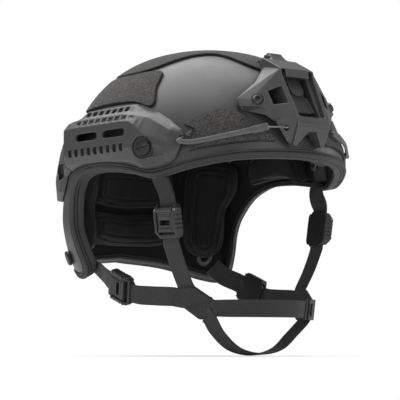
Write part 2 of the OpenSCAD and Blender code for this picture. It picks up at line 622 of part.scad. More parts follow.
// Shroud: corners of the right half as plan offset, reach and height
rib_x = recess_half + rib_t;
rib_top = follow([-rib_x - 0.4, -125, 76]);
rib_low = follow([-rib_x + 0.6, -147.4, 31]);
wing_tip_turn = -26.6;
wing_tip_z = 45.4;
module wing_side() {
    // the lower wing with its foot
    hull() {
        translate(rib_top) sphere(d = 1.6, $fn = 6);
        translate(rib_low) sphere(d = 1.6, $fn = 6);
        translate(follow([-recess_half - 0.8, -147.4, 31])) sphere(d = 1.6, $fn = 6);
        translate(follow([-recess_half - 0.8, -125, 76])) sphere(d = 1.6, $fn = 6);
        for (p = [[wing_tip_turn, wing_tip_z, 6], [wing_tip_turn + 0.4, wing_tip_z - 6, 5.6],
            [-23.8, 34.5, 7.6],
            [-19.9, 32, 8.4], [-15.6, 26.5, 8.6], [-12.2, 19, 8.2], [-9.6, 10, 6.4], [-7, 7.6, 5.8],
            [-18.8, 57, 8.6],
            [wing_tip_turn, wing_tip_z - 2, -2], [-23.4, 35, -2], [-12, 19, -2], [-7, 9, -2], [-6, 30, -2],
            [-9, 72, -2], [-19, 57, -2]])
            translate(on_side(p[0], raise(p[1]), p[2])) sphere(d = 1.2, $fn = 6);
        stand(shroud_screw_seat - shroud_screw_out * 1, shroud_screw_out, [0, 0, 1])
            cylinder(d = small_head_d + 3, h = 1, $fn = 24);
    }
}
module crown_side() {
    // the upper cheek that runs to the top lug
    hull() {
        translate(rib_top) sphere(d = 1.6, $fn = 6);
        translate(rib_top + [rib_t - 1, 0, 0]) sphere(d = 1.6, $fn = 6);
        for (p = [[-18.6, 57, 8.4], [-10.6, 73, 6.4], [-4.6, 79, 6.4], [-18.4, 57, -2], [-10.2, 74, -2],
            [-4.4, 79.4, -2],
            [-4, 74, -2]])
            translate(on_side(p[0], raise(p[1]), p[2])) sphere(d = 1.2, $fn = 6);
        translate(follow([-7.6, -101, 90.4])) sphere(d = 1.6, $fn = 6);
    }
}
recess_low = 33;
recess_high = 70;
floor_low_y = -131;
floor_high_y = -107;
lug_half = 8;
lug_top = 94.2;
ledge_h = 7;
module across_bar(half, outline) {
    // a bar across the middle, with its outline in reach and height
    translate([-half, 0, 0]) rotate([90, 0, 90]) linear_extrude(height = 2 * half)
        polygon([for (q = outline) [follow_y(q[0], q[1]), raise(q[1])]]);
}
hook_hole = follow([-25.4, -140.6, 22.4]);
hook_out = unit([-0.45, -0.89, 0]);
module shroud_middle() {
    // ledge over the recess
    across_bar(rib_x + 0.6, [[-126.6, 77.6], [-128, 77.6 - ledge_h], [-108, 66], [-98, 84], [-104, 89]]);
    // lug towards the crown
    across_bar(lug_half, [[-92, lug_top], [-100.6, lug_top - 1.4], [-113, 80], [-100, 74], [-89, 82]]);
    // the lug's tail between the prongs of the crown panel
    translate([0, follow_y(0, lug_top - 8), raise(lug_top - 16)])
        linear_extrude(height = raise(lug_top - 1.6) - raise(lug_top - 16))
        polygon([[-lug_half + 1, -97], [-6.4, -90], [-4.2, -83.6], [0, -80], [4.2, -83.6], [6.4, -90],
        [lug_half - 1, -97]]);
    // lower block over the two feet
    across_bar(rib_x - 0.4, [[-149.4, 27], [-146.8, 20.4], [-132, 19], [-128, 33], [-147.6, 33]]);
    both() hull() {
        for (p = [[-rib_x + 1, -148, 24], [-2.5, -148, 24], [-15, -142, 8.5], [-18, -142, 9],
            [-3, -134, 24],
            [-17, -130, 24], [-16.5, -133, 8.5]])
            translate(follow(p)) sphere(d = 1.4, $fn = 6);
    }
}
module grown_front() {
    // the shell's front, grown by the seat gap, to cut the shroud's back to it
    outer = [for (i = [0:14]) [for (j = [0:12]) on_side(mix(-42, 42, i / 14), mix(-4, 101, j / 12),
        edge_gap)]];
    inner = [for (i = [0:14]) [for (j = [0:12]) on_side(mix(-42, 42, i / 14), mix(-4, 101, j / 12), -45)]];
    slab(outer, inner, false);
}
module shroud() {
    color(moulded_grey) difference() {
        union() {
            both() {
                wing_side();
                crown_side();
            }
            shroud_middle();
        }
        grown_front();
        // the recess between the ribs, open to the front
        across_bar(recess_half, [[-170, recess_low], [floor_low_y, recess_low], [floor_high_y, recess_high],
            [-170, recess_high]]);
        both() {
            // windows in the wings
            translate([0, -100, 0]) rotate([90, 0, 0]) linear_extrude(height = 60)
                polygon([for (q = [[-34, 55.6], [-22.6, 60.6], [-21.4, 45], [-33, 43.4]]) [q.x, raise(q.y)]]);
            stand(shroud_screw_seat, shroud_screw_out, [0, 0, 1]) {
                cylinder(d = small_head_d + 1.4, h = 20, $fn = 40);
                translate([0, 0, -40]) cylinder(d = small_shank_d + 2 * bore_clear, h = 60, $fn = 30);
            }
            // hole for the lanyard's hook
            stand(hook_hole - hook_out * 8, hook_out, [0, 0, 1]) cylinder(d = 4.4, h = 30, $fn = 24);
        }
        // hole through the lug
        translate(follow([0, -96.4, 89.6])) rotate([0, 90, 0]) cylinder(d = 3.6, h = 60, center = true, $fn = 24);
    }
}
insert_gap = 0.3;
module shroud_insert() {
    foot = follow([0, floor_low_y, recess_low]);
    head = follow([0, floor_high_y, recess_high]);
    lean = unit(head - foot);
    proud = unit([0, -lean.z, lean.y]);
    span = norm(head - foot);
    half = recess_half - insert_gap;
    tongue = 7.6;
    color([0.17, 0.165, 0.16]) stand(foot + lean * span / 2 + proud * insert_gap,
        lean, proud)
        difference() {
            union() {
                translate([-half, 0, -span / 2 + 2]) cube([2 * half, 2.2, span - 6]);
                translate([-tongue, 2, 0]) cube([2 * tongue, 5, 15]);
                translate([0, 2, 0]) rotate([-90, 0, 0]) cylinder(r = tongue, h = 5, $fn = 40);
                for (side = [-1, 1])
                    translate([side > 0 ? half - 3 : -half, 2, -span / 2 + 4]) cube([3, 4, 12]);
            }
            translate([-tongue + 2.2, 4.6, 4]) cube([2 * tongue - 4.4, 4, 8]);
        }
}
module shroud_screws() {
    color(steel_black) both() stand(shroud_screw_seat, shroud_screw_out, [0, 0, 1]) difference() {
        union() {
            translate([0, 0, seat_gap]) cylinder(d1 = small_head_d, d2 = small_head_d - 3, h = 3, $fn = 40);
            translate([0, 0, -shroud_nut - shank_end])
                cylinder(d = small_shank_d, h = shroud_nut + shank_end + 0.4, $fn = 30);
        }
        translate([0, 0, 1.6]) cylinder(d = 4.2, h = 4, $fn = 6);
    }
}

// Lanyards from the rails' front ends to the shroud, and the wire hooks on them
lanyard_stops = [[-50.4, 11.6, 4.6], [-43, 13.2, 4.8], [-34.6, 15.8, 5.6], [-26, 19, 6.2],
    [-20.2, 21, 6.8]];
lanyard_w = [3.4, 3.6, 4, 5.4, 5.8];
module lanyard_right() {
    stops = smooth_line(lanyard_stops, 3);
    wide = smooth_line(lanyard_w, 3);
    path = [for (s = stops) on_side(s[0], s[1], s[2])];
    color(rubber_grey) {
        n = len(path);
        outer = [for (i = [0:n - 1]) [for (e = [-1, 1]) on_side(stops[i][0], stops[i][1] + e
            * wide[i] / 2, stops[i][2] + 1.5)]];
        inner = [for (i = [0:n - 1]) [for (e = [-1, 1]) on_side(stops[i][0], stops[i][1] + e
            * wide[i] / 2, stops[i][2] - 1.5)]];
        slab(outer, inner, false);
    }
}
module lanyard_left() {
    left_of() lanyard_right();
}
module lanyard_hook_right() {
    color(steel_black) wire(smooth_line([on_side(-19.8, 21.2, 6.8), on_side(-17, 22.2, 8.6),
        on_side(-14.2, 22.4, 12), hook_hole + hook_out * 6.4, hook_hole + hook_out * 1, hook_hole - hook_out * 4], 3), 1.7, 8);
}
module lanyard_hook_left() {
    left_of() lanyard_hook_right();
}

// Pads: crowned faces with a sewn channel inside the border, and drawn-in sides
pad_profile = [[0.4, 1], [0.66, 0.97], [0.745, 0.8], [0.82, 0.94], [0.93, 0.8], [1, 0.42]];
side_pad_outline = [[-72.4, -8], [-72, 4], [-74, 24], [-82, 34], [-100, 34], [-113, 24], [-116, 6],
    [-114, -5],
    [-104, -2.5], [-90, -2], [-79, -4]];
rear_side_pad_outline = [[-130, 24], [-141, 26], [-148.5, 18], [-150.5, -12], [-151, -46], [-149.5, -76],
    [-143, -87],
    [-136, -86], [-131, -76], [-129, -54], [-127.6, -32], [-123, -14], [-121.5, 8], [-124, 20]];
rear_upper_outline = [[-154.5, 6], [-155, -12], [-156, -25], [-168, -30], [-180, -31.5], [-192, -30],
    [-204, -25],
    [-205, -12], [-205.5, 6], [-200, 16], [-180, 19], [-160, 16]];
rear_lower_outline = [[-154, -38], [-154.5, -54], [-156, -68], [-166, -74], [-180, -75], [-194, -74],
    [-204, -68],
    [-205.5, -54], [-206, -38], [-193, -34.5], [-180, -35.5], [-167, -34.5]];
brow_outline = [[42, 4], [47, 16], [43, 30], [26, 36], [0, 38], [-26, 36], [-43, 30], [-47, 16],
    [-42, 4], [-24, 6.5],
    [0, 8], [24, 6.5]];
crown_outline = [for (a = [0:30:330]) [46 * cos(a), 4 + 52 * sin(a)]];
module pad(outline, middle, top_kind, thick) {
    color(fabric_black) patch(smooth_loop(outline, 3), middle, top_kind, pad_base, -thick, pad_profile, 2);
}
module brow_pad() {
    pad(brow_outline, [0, 21], false, brow_pad_t);
}
module crown_pad() {
    pad(crown_outline, [0, 4], true, crown_pad_t);
}
module side_pad_right() {
    pad(side_pad_outline, [-92, 15], false, side_pad_t);
}
module side_pad_left() {
    left_of() side_pad_right();
}
module rear_side_pad_right() {
    difference() {
        pad(rear_side_pad_outline, [-138.5, -28], false, rear_pad_t);
        color(fabric_black) nut_room(rear_screw_seat, rear_screw_out, rear_nut);
        color(fabric_black) nut_room(nape_screw_seat, nape_screw_out, nape_nut);
    }
}
module rear_side_pad_left() {
    left_of() rear_side_pad_right();
}
module rear_pad_upper() {
    pad(rear_upper_outline, [-180, -7], false, rear_pad_t);
}
module rear_pad_lower() {
    pad(rear_lower_outline, [-180, -54], false, rear_pad_t);
}
// The discs above the ears sit on a flatter wall, so they come nearer to it
side_disc_turn = 92;
side_disc_lift = 0.2;
disc_places = [[-side_disc_turn, 16], [side_disc_turn, 16], [-137, 4], [137, 4], [166, -6], [-166, -6], [166, -52],
    [-166, -52], [-22, 22], [22, 22]];
disc_d = 18;
function top_normal(x, y) = unit(cross(on_top(x + 1, y, 0) - on_top(x - 1, y, 0), on_top(x, y + 1,
    0) - on_top(x, y - 1, 0)));
module hook_disc(place, normal) {
    stand(place, -normal, [0, 0.2, 1]) cylinder(d = disc_d, h = hook_t, $fn = 32);
}
module hook_discs() {
    color([0.1, 0.1, 0.09]) {
        for (p = disc_places)
            hook_disc(on_side(p[0], p[1], disc_off + (abs(p[0]) == side_disc_turn ? side_disc_lift : 0)),
                normal_at(p[0], p[1]));
        for (y = [-20, 28])
            hook_disc(on_top(0, y, disc_off), top_normal(0, y) + [0.001, 0, 0]);
    }
}

// Strap anchors on the shell's inner wall
anchor_off = inner_face - wall_gap;
front_anchor_turn = -61.8;
front_anchor_low = -8.6;
rear_anchor_turn = -135.5;
rear_anchor_low = -93.6;
module anchor_plate(turns, zs) {
    outer = [for (t = [0:4]) [for (k = [0:3]) on_side(mix(turns[0], turns[1], t / 4), mix(zs[0], zs[1],
        k / 3), anchor_off)]];
    inner = [for (t = [0:4]) [for (k = [0:3])
        on_side(mix(turns[0], turns[1], t / 4), mix(zs[0], zs[1], k / 3), anchor_off - anchor_t)]];
    slab(outer, inner, false);
}
module front_anchors() {
    color(steel_black) both() difference() {
        anchor_plate([-57.2, -69.2], [front_anchor_low, 16]);
        bore_along(front_screw_seat, front_screw_out, big_shank_d + 2 * bore_clear, 90);
    }
}
module rear_anchors() {
    color(steel_black) both() difference() {
        anchor_plate([-131.4, -143], [rear_anchor_low, -76]);
        bore_along(nape_screw_seat, nape_screw_out, big_shank_d + 2 * bore_clear, 60);
    }
}

// Webbing routes on the wearer's right
strap_off = anchor_off - anchor_t / 2;
adj_front = [-90.4 * width_share, -58.6, -57.4];
adj_front_up = unit([-0.14, -0.02, 1]);
adj_front_out = unit([-1, -0.08, -0.16]);
adj_rear = [-79 * width_share, 24, -113];
adj_rear_up = unit([-0.03, 0.93, 0.36]);
adj_rear_out = unit([-0.96, -0.06, -0.26]);
function join_x(y, z) = -(64.5 * width_share + 0.2 * (y + 60) + 0.33 * (z + 128));
join_out = unit([-1, -0.2, -0.33]);
patch_corners = [[-47.6, -115.5], [-65.2, -114.5], [-83.6, -127], [-85, -141], [-63, -144],
    [-49, -133.5], [-35, -131]];
// The patch's room in the straps that end at it
module join_room() {
    middle = [for (c = patch_corners) 1 / len(patch_corners)] * patch_corners;
    join_plate([for (c = patch_corners) mix(middle, c, 1.016)], patch_t + 1);
}
function join_edge(a, b, away) = let (y = mix(a[0], b[0], 0.5), z = mix(a[1], b[1], 0.5))
    [join_x(y, z), y, z] + away;
hold = 1.4;
module front_upper() {
    low = adj_front + adj_front_up * hold;
    high = adj_front + adj_front_up * (adj_l / 2 + 2);
    path = smooth_line([on_side(front_anchor_turn, front_anchor_low - 2.6, strap_off - 2.4),
        on_side(front_anchor_turn, -15.5, strap_off - 7.5), [-92.8 * width_share, -54.4, -28], high, low], 3);
    color(web_grey) band(path, [for (i = [0:len(path) - 1]) unit(mix(normal_at(front_anchor_turn, -8),
        adj_front_out,
        min(max(i / (len(path) - 1) * 2 - 0.5, 0), 1)))], web_w, web_t);
}
module front_lower() {
    path = smooth_line([adj_front - adj_front_up * hold, adj_front - adj_front_up * (adj_l / 2 - 2),
        adj_front - adj_front_up * (adj_l / 2 + 4), [-79.6 * width_share, -57.4, -96],
        join_edge(patch_corners[0], patch_corners[1], [0, 0.3, 1])], 3);
    color(web_grey) difference() {
        band(path, [for (i = [0:len(path) - 1]) mix(adj_front_out, join_out, i / (len(path) - 1))],
            web_w, web_t);
        join_room();
    }
}
rear_exit = on_side(rear_anchor_turn, rear_anchor_low - 0.4, inner_face - 6) + [0, 0, -1];
module rear_upper() {
    path = smooth_line([rear_exit, mix(rear_exit, adj_rear + adj_rear_up * (adj_l / 2 + 4), 0.5)
        + [2.8, 0, -1.4],
        adj_rear + adj_rear_up * (adj_l / 2 + 4), adj_rear + adj_rear_up * hold], 3);
    color(web_grey) band(path, [for (i = [0:len(path) - 1]) unit(mix([-0.8, 0.5, -0.3], adj_rear_out,
        min(i / (len(path) - 1) * 1.4, 1)))], web_w - 1, web_t);
}
module rear_lower() {
    path = smooth_line([adj_rear - adj_rear_up * hold, adj_rear - adj_rear_up * (adj_l / 2 + 3),
        [-74 * width_share, -14, -122],
        join_edge(patch_corners[0], patch_corners[6], [-0.3, 1.2, 0])], 3);
    color(web_grey) difference() {
        band(path, [for (i = [0:len(path) - 1]) mix(adj_rear_out, join_out, i / (len(path) - 1))],
            web_w - 1, web_t);
        join_room();
    }
}
module strap_front_upper_right() {
    front_upper();
}
module strap_front_upper_left() {
    left_of() front_upper();
}
module strap_front_lower_right() {
    front_lower();
}
module strap_front_lower_left() {
    left_of() front_lower();
}
module strap_rear_upper_right() {
    rear_upper();
}
module strap_rear_upper_left() {
    left_of() rear_upper();
}
module strap_rear_lower_right() {
    rear_lower();
}
module strap_rear_lower_left() {
    left_of() rear_lower();
}
patch_t = 2.8;
module join_plate(corners, thick) {
    n = len(corners);
    pts = flat([for (side = [0.5, -0.5]) [for (c = corners) [join_x(c[0], c[1]), c[0], c[1]] + join_out
        * thick * side]]);
    faces = concat([for (k = [1:n - 2]) [0, k, k + 1]], [for (k = [1:n - 2]) [n, n + k + 1, n + k]],
        [for (k = [0:n - 1]) let (m = (k + 1) % n) each [[k, n + m, m], [k, n + k, n + m]]]);
    polyhedron(points = pts, faces = faces);
}
module junction_patch_right() {
    color(web_grey) join_plate(patch_corners, patch_t);
}
module junction_patch_left() {
    left_of() junction_patch_right();
}
chin_mid_z = -134;
chin_out_y = -104.6;
chin_start = join_edge(patch_corners[2], patch_corners[3], [0.2, -0.6, 0]);
plug_aim = [37.9 * width_share, -94.9, chin_mid_z];
module chin_strap() {
    path = smooth_line([chin_start, [-37 * width_share, -95.4, chin_mid_z], [-18 * width_share, -102, chin_mid_z], [0, chin_out_y,
        chin_mid_z],
        [20 * width_share, -102, chin_mid_z], plug_end + buckle_dir * 0.3], 3);
    color(web_grey) difference() {
        band(path, [for (p = path) unit([p.x, p.y + 40, -7])], web_w - 3.4, web_t);
        join_room();
    }
}
under_mid = [0, -72, -174.6];
module under_chin_strap() {
    start = join_edge(patch_corners[3], patch_corners[4], [0.5, 0, -1.2]);
    side = [-46.5 * width_share, -73.4, -156.5];
    low = [-27 * width_share, -72.4, -169.6];
    path = smooth_line([start, side, low, under_mid, mirrored(low) - [2.4, 0, 0],
        mirrored(side) - [4.4, 0, 0], mirrored(start)], 3);
    color(web_grey) difference() {
        band(path, [for (p = path) unit([p.x, -3, p.z + 118])], web_w, web_t);
        both() join_room();
    }
}

// Adjusters: a frame with two side walls, and a lever on a pin
adj_in = web_w / 2 + 0.9;
adj_deep = 6.4;
base_t = 1.8;
base_y = -web_t / 2 - run_gap - base_t;
pin_y = 4.4;
pin_z = 10;
lever_half = adj_in - run_gap;
rib_count = 7;
module adjuster() {
    difference() {
        union() {
            for (side = [-1, 1]) {
                translate([side > 0 ? adj_in : -adj_in - adj_side, base_y, -adj_l / 2 + 2])
                    cube([adj_side, adj_deep - base_y, adj_l - 4]);
                for (k = [0:rib_count - 1])
                    translate([side > 0 ? adj_in + adj_side - 0.01 : -adj_in - adj_side - 0.89, base_y
                    + 0.6,
                        mix(-adj_l / 2 + 3, adj_l / 2 - 5, k / (rib_count - 1))])
                        cube([0.9, adj_deep - base_y - 1.2, 2]);
            }
            translate([-adj_in - 0.01, base_y, -adj_l / 2]) cube([2 * adj_in + 0.02, base_t, adj_l]);
            translate([-adj_in - 0.01, web_t / 2 + run_gap, -adj_l / 2 + 2])
                cube([2 * adj_in + 0.02, 2, 3.4]);
        }
        translate([-adj_in - adj_side - 2, pin_y, pin_z]) rotate([0, 90, 0])
            cylinder(d = pin_d + 2 * pin_clear, h = 2 * (adj_in + adj_side) + 4, $fn = 24);
    }
}
module lever() {
    difference() {
        union() {
            translate([-lever_half, 2, -9.4]) cube([2 * lever_half, 3.2, 18]);
            translate([-lever_half, pin_y, pin_z]) rotate([0, 90, 0]) cylinder(d = 5.4, h = 2
                * lever_half, $fn = 32);
            translate([-lever_half + 1.5, 5, -9.4]) cube([2 * lever_half - 3, 1.4, 3.2]);
        }
        translate([-lever_half - 1, pin_y, pin_z]) rotate([0, 90, 0])
            cylinder(d = pin_d + 2 * pin_clear, h = 2 * lever_half + 2, $fn = 24);
        translate([-5.4, 0, -3]) cube([10.8, 8, 4.4]);
    }
}
module lever_pin() {
    translate([-adj_in - adj_side, pin_y, pin_z]) rotate([0, 90, 0]) cylinder(d = pin_d, h = 2
        * (adj_in + adj_side), $fn = 24);
}
module at_front() {
    stand(adj_front, adj_front_up, adj_front_out) children();
}
module at_rear() {
    stand(adj_rear, adj_rear_up, adj_rear_out) children();
}
module adjuster_front_right() {
    color(steel_black) at_front() adjuster();
}
module adjuster_front_left() {
    color(steel_black) left_of() at_front() adjuster();
}
module adjuster_rear_right() {
    color(steel_black) at_rear() adjuster();
}
module adjuster_rear_left() {
    color(steel_black) left_of() at_rear() adjuster();
}
module lever_front_right() {
    color(moulded_grey) at_front() lever();
}
module lever_front_left() {
    color(moulded_grey) left_of() at_front() lever();
}
module lever_rear_right() {
    color(moulded_grey) at_rear() lever();
}
module lever_rear_left() {
    color(moulded_grey) left_of() at_rear() lever();
}
module lever_pins() {
    color([0.5, 0.5, 0.52]) both() {
        at_front() lever_pin();
        at_rear() lever_pin();
    }
}

// Release buckle on the wearer's left, between the patch and the chin strap
buckle_h = web_w - 0.2;
socket_z0 = 3.4;
socket_body = 14;
plug_gap = 0.4;
plug_t = 4;
plug_clear = 0.26;
buckle_start = mirrored(join_edge(patch_corners[2], patch_corners[3], [0, -0.8, 0]));
buckle_dir = unit(plug_aim - buckle_start);
plug_end = buckle_start + buckle_dir * (socket_z0 + socket_body + plug_gap + plug_t + plug_clear);
buckle_out = unit([0.8, -0.55, -0.1]);
button_w = 11;
button_out = 1.4;
button_low = 1.25;
skin_t = 1.8;
module at_buckle() {
    stand(buckle_start - buckle_out * 0.8, buckle_dir, buckle_out) children();
}
module buckle_socket() {
    color(steel_black) at_buckle() difference() {
        translate([-buckle_h / 2, -buckle_t / 2, socket_z0]) cube([buckle_h, buckle_t, socket_body]);
        translate([-buckle_h / 2 + skin_t, -buckle_t / 2 + skin_t, socket_z0 + 3])
            cube([buckle_h - 2 * skin_t, buckle_t - 2 * skin_t, 12]);
        translate([-button_w / 2, 0, socket_z0 + 4]) cube([button_w, buckle_t, 7]);
    }
}
module buckle_plug() {
    color(steel_black) at_buckle() {
        translate([-buckle_h / 2, -buckle_t / 2, socket_z0 + socket_body + plug_gap])
            cube([buckle_h, buckle_t - 1.4, plug_t]);
        translate([-buckle_h / 2 + skin_t + plug_gap, -buckle_t / 2 + skin_t + plug_gap, socket_z0 + 5])
            cube([buckle_h - 2 * skin_t - 2 * plug_gap, 1.2, 10]);
    }
}
module buckle_button() {
    color(moulded_grey) at_buckle()
        translate([-button_w / 2 + run_gap, button_low, socket_z0 + 4 + run_gap]) cube([button_w - 2 * run_gap,
        buckle_t / 2 + button_out - button_low, 7 - 2 * run_gap]);
}

shell();
edge_trim();
crown_loop_panel();
side_loop_panel_right();
side_loop_panel_left();
front_loop_panel_right();
front_loop_panel_left();
rear_loop_panel();
rail_right();
rail_left();
rail_arm_right();
rail_arm_left();
rear_bridge();
rail_front_screws();
rail_rear_screws();
nape_screws();
inner_nuts();
shroud();
shroud_insert();
shroud_screws();
lanyard_right();
lanyard_left();
lanyard_hook_right();
lanyard_hook_left();
brow_pad();
crown_pad();
side_pad_right();
side_pad_left();
rear_side_pad_right();
rear_side_pad_left();
rear_pad_upper();
rear_pad_lower();
hook_discs();
front_anchors();
rear_anchors();
strap_front_upper_right();
strap_front_upper_left();
strap_front_lower_right();
strap_front_lower_left();
strap_rear_upper_right();
strap_rear_upper_left();
strap_rear_lower_right();
strap_rear_lower_left();
junction_patch_right();
junction_patch_left();
chin_strap();
under_chin_strap();
adjuster_front_right();
adjuster_front_left();
adjuster_rear_right();
adjuster_rear_left();
lever_front_right();
lever_front_left();
lever_rear_right();
lever_rear_left();
lever_pins();
buckle_socket();
buckle_plug();
buckle_button();
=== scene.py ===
# %% [markdown]
# # Dressing a combat helmet in Blender
#
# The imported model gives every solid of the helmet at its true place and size. This lesson puts the real
# looks over it: a coated composite shell, a rubber edge, loop panels, moulded rails and shroud, foam pads
# and woven straps. Each step says what the piece is on a real helmet, how it could be made, and why this
# way was chosen. All sizes are millimetres on the helmet and become metres when a mesh is made. The front
# is -Y, the wearer's right is -X and up is +Z.

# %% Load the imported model
import math
import bmesh
import bpy
import numpy as np
from mathutils import Matrix, Vector


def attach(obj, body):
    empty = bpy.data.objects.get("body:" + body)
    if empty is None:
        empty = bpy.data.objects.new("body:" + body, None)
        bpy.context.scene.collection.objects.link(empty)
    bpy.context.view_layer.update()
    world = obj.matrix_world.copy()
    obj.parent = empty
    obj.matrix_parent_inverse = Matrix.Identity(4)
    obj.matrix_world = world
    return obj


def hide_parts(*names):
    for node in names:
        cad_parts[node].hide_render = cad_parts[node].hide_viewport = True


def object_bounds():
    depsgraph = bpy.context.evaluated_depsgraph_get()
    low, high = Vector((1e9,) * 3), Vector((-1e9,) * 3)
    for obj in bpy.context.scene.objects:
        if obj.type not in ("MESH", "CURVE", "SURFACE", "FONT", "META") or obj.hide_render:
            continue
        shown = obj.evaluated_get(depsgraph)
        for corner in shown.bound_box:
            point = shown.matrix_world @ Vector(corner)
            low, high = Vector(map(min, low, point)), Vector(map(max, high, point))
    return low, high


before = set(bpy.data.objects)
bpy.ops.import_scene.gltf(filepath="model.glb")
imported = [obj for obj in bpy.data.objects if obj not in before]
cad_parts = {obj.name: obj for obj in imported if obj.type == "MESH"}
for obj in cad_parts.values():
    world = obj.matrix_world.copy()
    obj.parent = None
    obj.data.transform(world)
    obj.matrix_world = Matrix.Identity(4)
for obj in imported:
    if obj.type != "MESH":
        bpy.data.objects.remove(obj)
cad_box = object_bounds()

# %% [markdown]
# ## The camera
#
# The photograph looks at the helmet from the front right, a little from below, with a long lens. The
# camera could stand close with a short lens, but then the near rail would swell. A long lens keeps the
# far side nearly as large as the near side, so the camera stands 1.75 m away.

# %% Camera
TO_CAMERA = Vector((-0.6416, -0.7631, -0.0781))
AIM = Vector((-0.0019, 0.0047, -0.0307))
DISTANCE, LENS, SENSOR = 1.7456, 167.67, 36
PHOTO_SIDE = 400

camera = bpy.data.objects.new("photograph_camera", bpy.data.cameras.new("photograph_camera"))
bpy.context.scene.collection.objects.link(camera)
camera.location = AIM + TO_CAMERA * DISTANCE
camera.rotation_euler = (-TO_CAMERA).to_track_quat("-Z", "Y").to_euler()
camera.data.lens = LENS
camera.data.sensor_width = SENSOR
camera.data.clip_end = 100
bpy.context.scene.camera = camera
bpy.context.scene.view_settings.view_transform = "Standard"
print("camera at", [round(v, 3) for v in camera.location])

# %% [markdown]
# ## Meshes from rings of points
#
# Nearly every piece here is a stack of closed rings of points, joined by four-sided faces, as a potter
# coils a pot. The rings could also be curves with a bevel, but plain points can follow the helmet's own
# rule exactly. These few helpers turn millimetre points into a mesh, and write numbers on its points for
# a finish to read.

# %% Mesh helpers
MM = 0.001


def mesh_of(name, points, faces):
    mesh = bpy.data.meshes.new(name)
    mesh.from_pydata((np.asarray(points, float) * MM).tolist(), [], faces)
    return mesh


def mark(mesh, name, values):
    """One number, or one direction, on each point of a mesh."""
    values = np.asarray(values, np.float32)
    kind, key = ("FLOAT_VECTOR", "vector") if values.ndim == 2 else ("FLOAT", "value")
    mesh.attributes.new(name, kind, "POINT").data.foreach_set(key, values.ravel())


def show(name, mesh, finish):
    piece = bpy.data.objects.new(name, mesh)
    bpy.context.scene.collection.objects.link(piece)
    mesh.materials.append(finish)
    return piece


def wrap_mesh(name, mesh, finish):
    """A shaded piece with its doubles merged and its faces turned outwards."""
    bm = bmesh.new()
    bm.from_mesh(mesh)
    bmesh.ops.remove_doubles(bm, verts=bm.verts, dist=1e-6)
    bmesh.ops.recalc_face_normals(bm, faces=bm.faces)
    bm.to_mesh(mesh)
    bm.free()
    piece = show(name, mesh, finish)
    mesh.shade_smooth()
    return piece


def tube_faces(rows, cols, first=0):
    """The faces between closed rows of points."""
    return [[first + i * cols + j, first + i * cols + (j + 1) % cols,
             first + (i + 1) * cols + (j + 1) % cols, first + (i + 1) * cols + j]
            for i in range(rows - 1) for j in range(cols)]


def end_faces(rows, cols):
    """One flat face on each end of a tube."""
    return [list(range(cols)), [(rows - 1) * cols + j for j in range(cols)][::-1]]


def fan(tip, first, cols, turned=0):
    """Triangles from one tip to a closed row. With turned=1 they run round the other way."""
    return [[tip, first + (j + turned) % cols, first + (j + 1 - turned) % cols] for j in range(cols)]


def unit(v):
    v = np.asarray(v, float)
    return v / np.linalg.norm(v, axis=-1, keepdims=True)


# %% Smooth lines
def catmull(a, b, c, d, t):
    """A point between b and c on the smooth curve through four points."""
    bend = (2 * a - 5 * b + 4 * c - d) * t * t
    return 0.5 * (2 * b + (c - a) * t + bend + (3 * b - a - 3 * c + d) * t ** 3)


def smooth_loop(points, n):
    p = np.asarray(points, float)
    k = len(p)
    return np.array([catmull(p[i - 1], p[i], p[(i + 1) % k], p[(i + 2) % k], s / n)
                     for i in range(k) for s in range(n)])


def smooth_line(points, n):
    p = np.asarray(points, float)
    p = np.vstack([2 * p[0] - p[1], p, 2 * p[-1] - p[-2]])
    inner = [catmull(p[i - 1], p[i], p[i + 1], p[i + 2], s / n)
             for i in range(1, len(p) - 2) for s in range(n)]
    return np.array(inner + [p[-2]])


# %% [markdown]
# ## The shell's face as a rule
#
# The composite shell is a squarish dome. Its plan and its side view are both superellipses, and the sides
# draw in a little behind the ear cuts. It could be sculpted, but then every piece on it would have to be
# fitted by eye. As a rule with an offset it serves every piece that lies on the shell, so nothing floats
# or sinks. A place is given by its turn from the front in degrees, and by its height or its latitude.

# %% Dome rule
FRONT, REAR, HALF = 139.4, 142.6, 120.6
LEVEL, RISE, FALL = -47.2, 152.4, 100.4
SIDE_POWER, PLAN_POWER, WALL = 2.41, 2.13, 7.5
PINCH_FROM, PINCH_TO, PINCH_RAMP = 112, 146, 21
PINCH_TOP, PINCH_DEEP, PINCH_SLOPE = -12, 88, 0.15
FULLNESS, FULL_TURN, FULL_Z = 2.2, (137, 13), (-46, 20)


def pinch(turn, z):
    """How far the sides draw in behind the ears, less the fullness of the rear corners."""
    t = np.abs((turn + 180) % 360 - 180)
    back = t >= PINCH_FROM
    share = np.where(back, np.clip((PINCH_TO - t) / PINCH_RAMP, 0, 1.1), 0)
    bulge = np.exp(-((t - FULL_TURN[0]) / FULL_TURN[1]) ** 2 - ((z - FULL_Z[0]) / FULL_Z[1]) ** 2)
    drawn = np.clip(PINCH_TOP - z, 0, PINCH_DEEP) * PINCH_SLOPE * share ** 2
    return drawn - np.where(back, FULLNESS * bulge, 0)


def plan_r(turn, off=0.0):
    s, c = np.abs(np.sin(np.radians(turn))), np.cos(np.radians(turn))
    a = np.where(c > 0, FRONT, REAR) + off
    return ((s / (HALF + off)) ** PLAN_POWER + (np.abs(c) / a) ** PLAN_POWER) ** (-1 / PLAN_POWER)


def on_dome(turn, lat, off=0.0):
    turn, lat, off = np.broadcast_arrays(*(np.asarray(v, float) for v in (turn, lat, off)))
    rise = np.where(lat > 0, RISE + off, -(FALL + off))
    z = LEVEL + rise * np.abs(np.sin(np.radians(lat))) ** (2 / SIDE_POWER)
    r = plan_r(turn, off) * np.clip(np.cos(np.radians(lat)), 0, 1) ** (2 / SIDE_POWER) - pinch(turn, z)
    return np.stack([r * np.sin(np.radians(turn)), -r * np.cos(np.radians(turn)), z], -1)


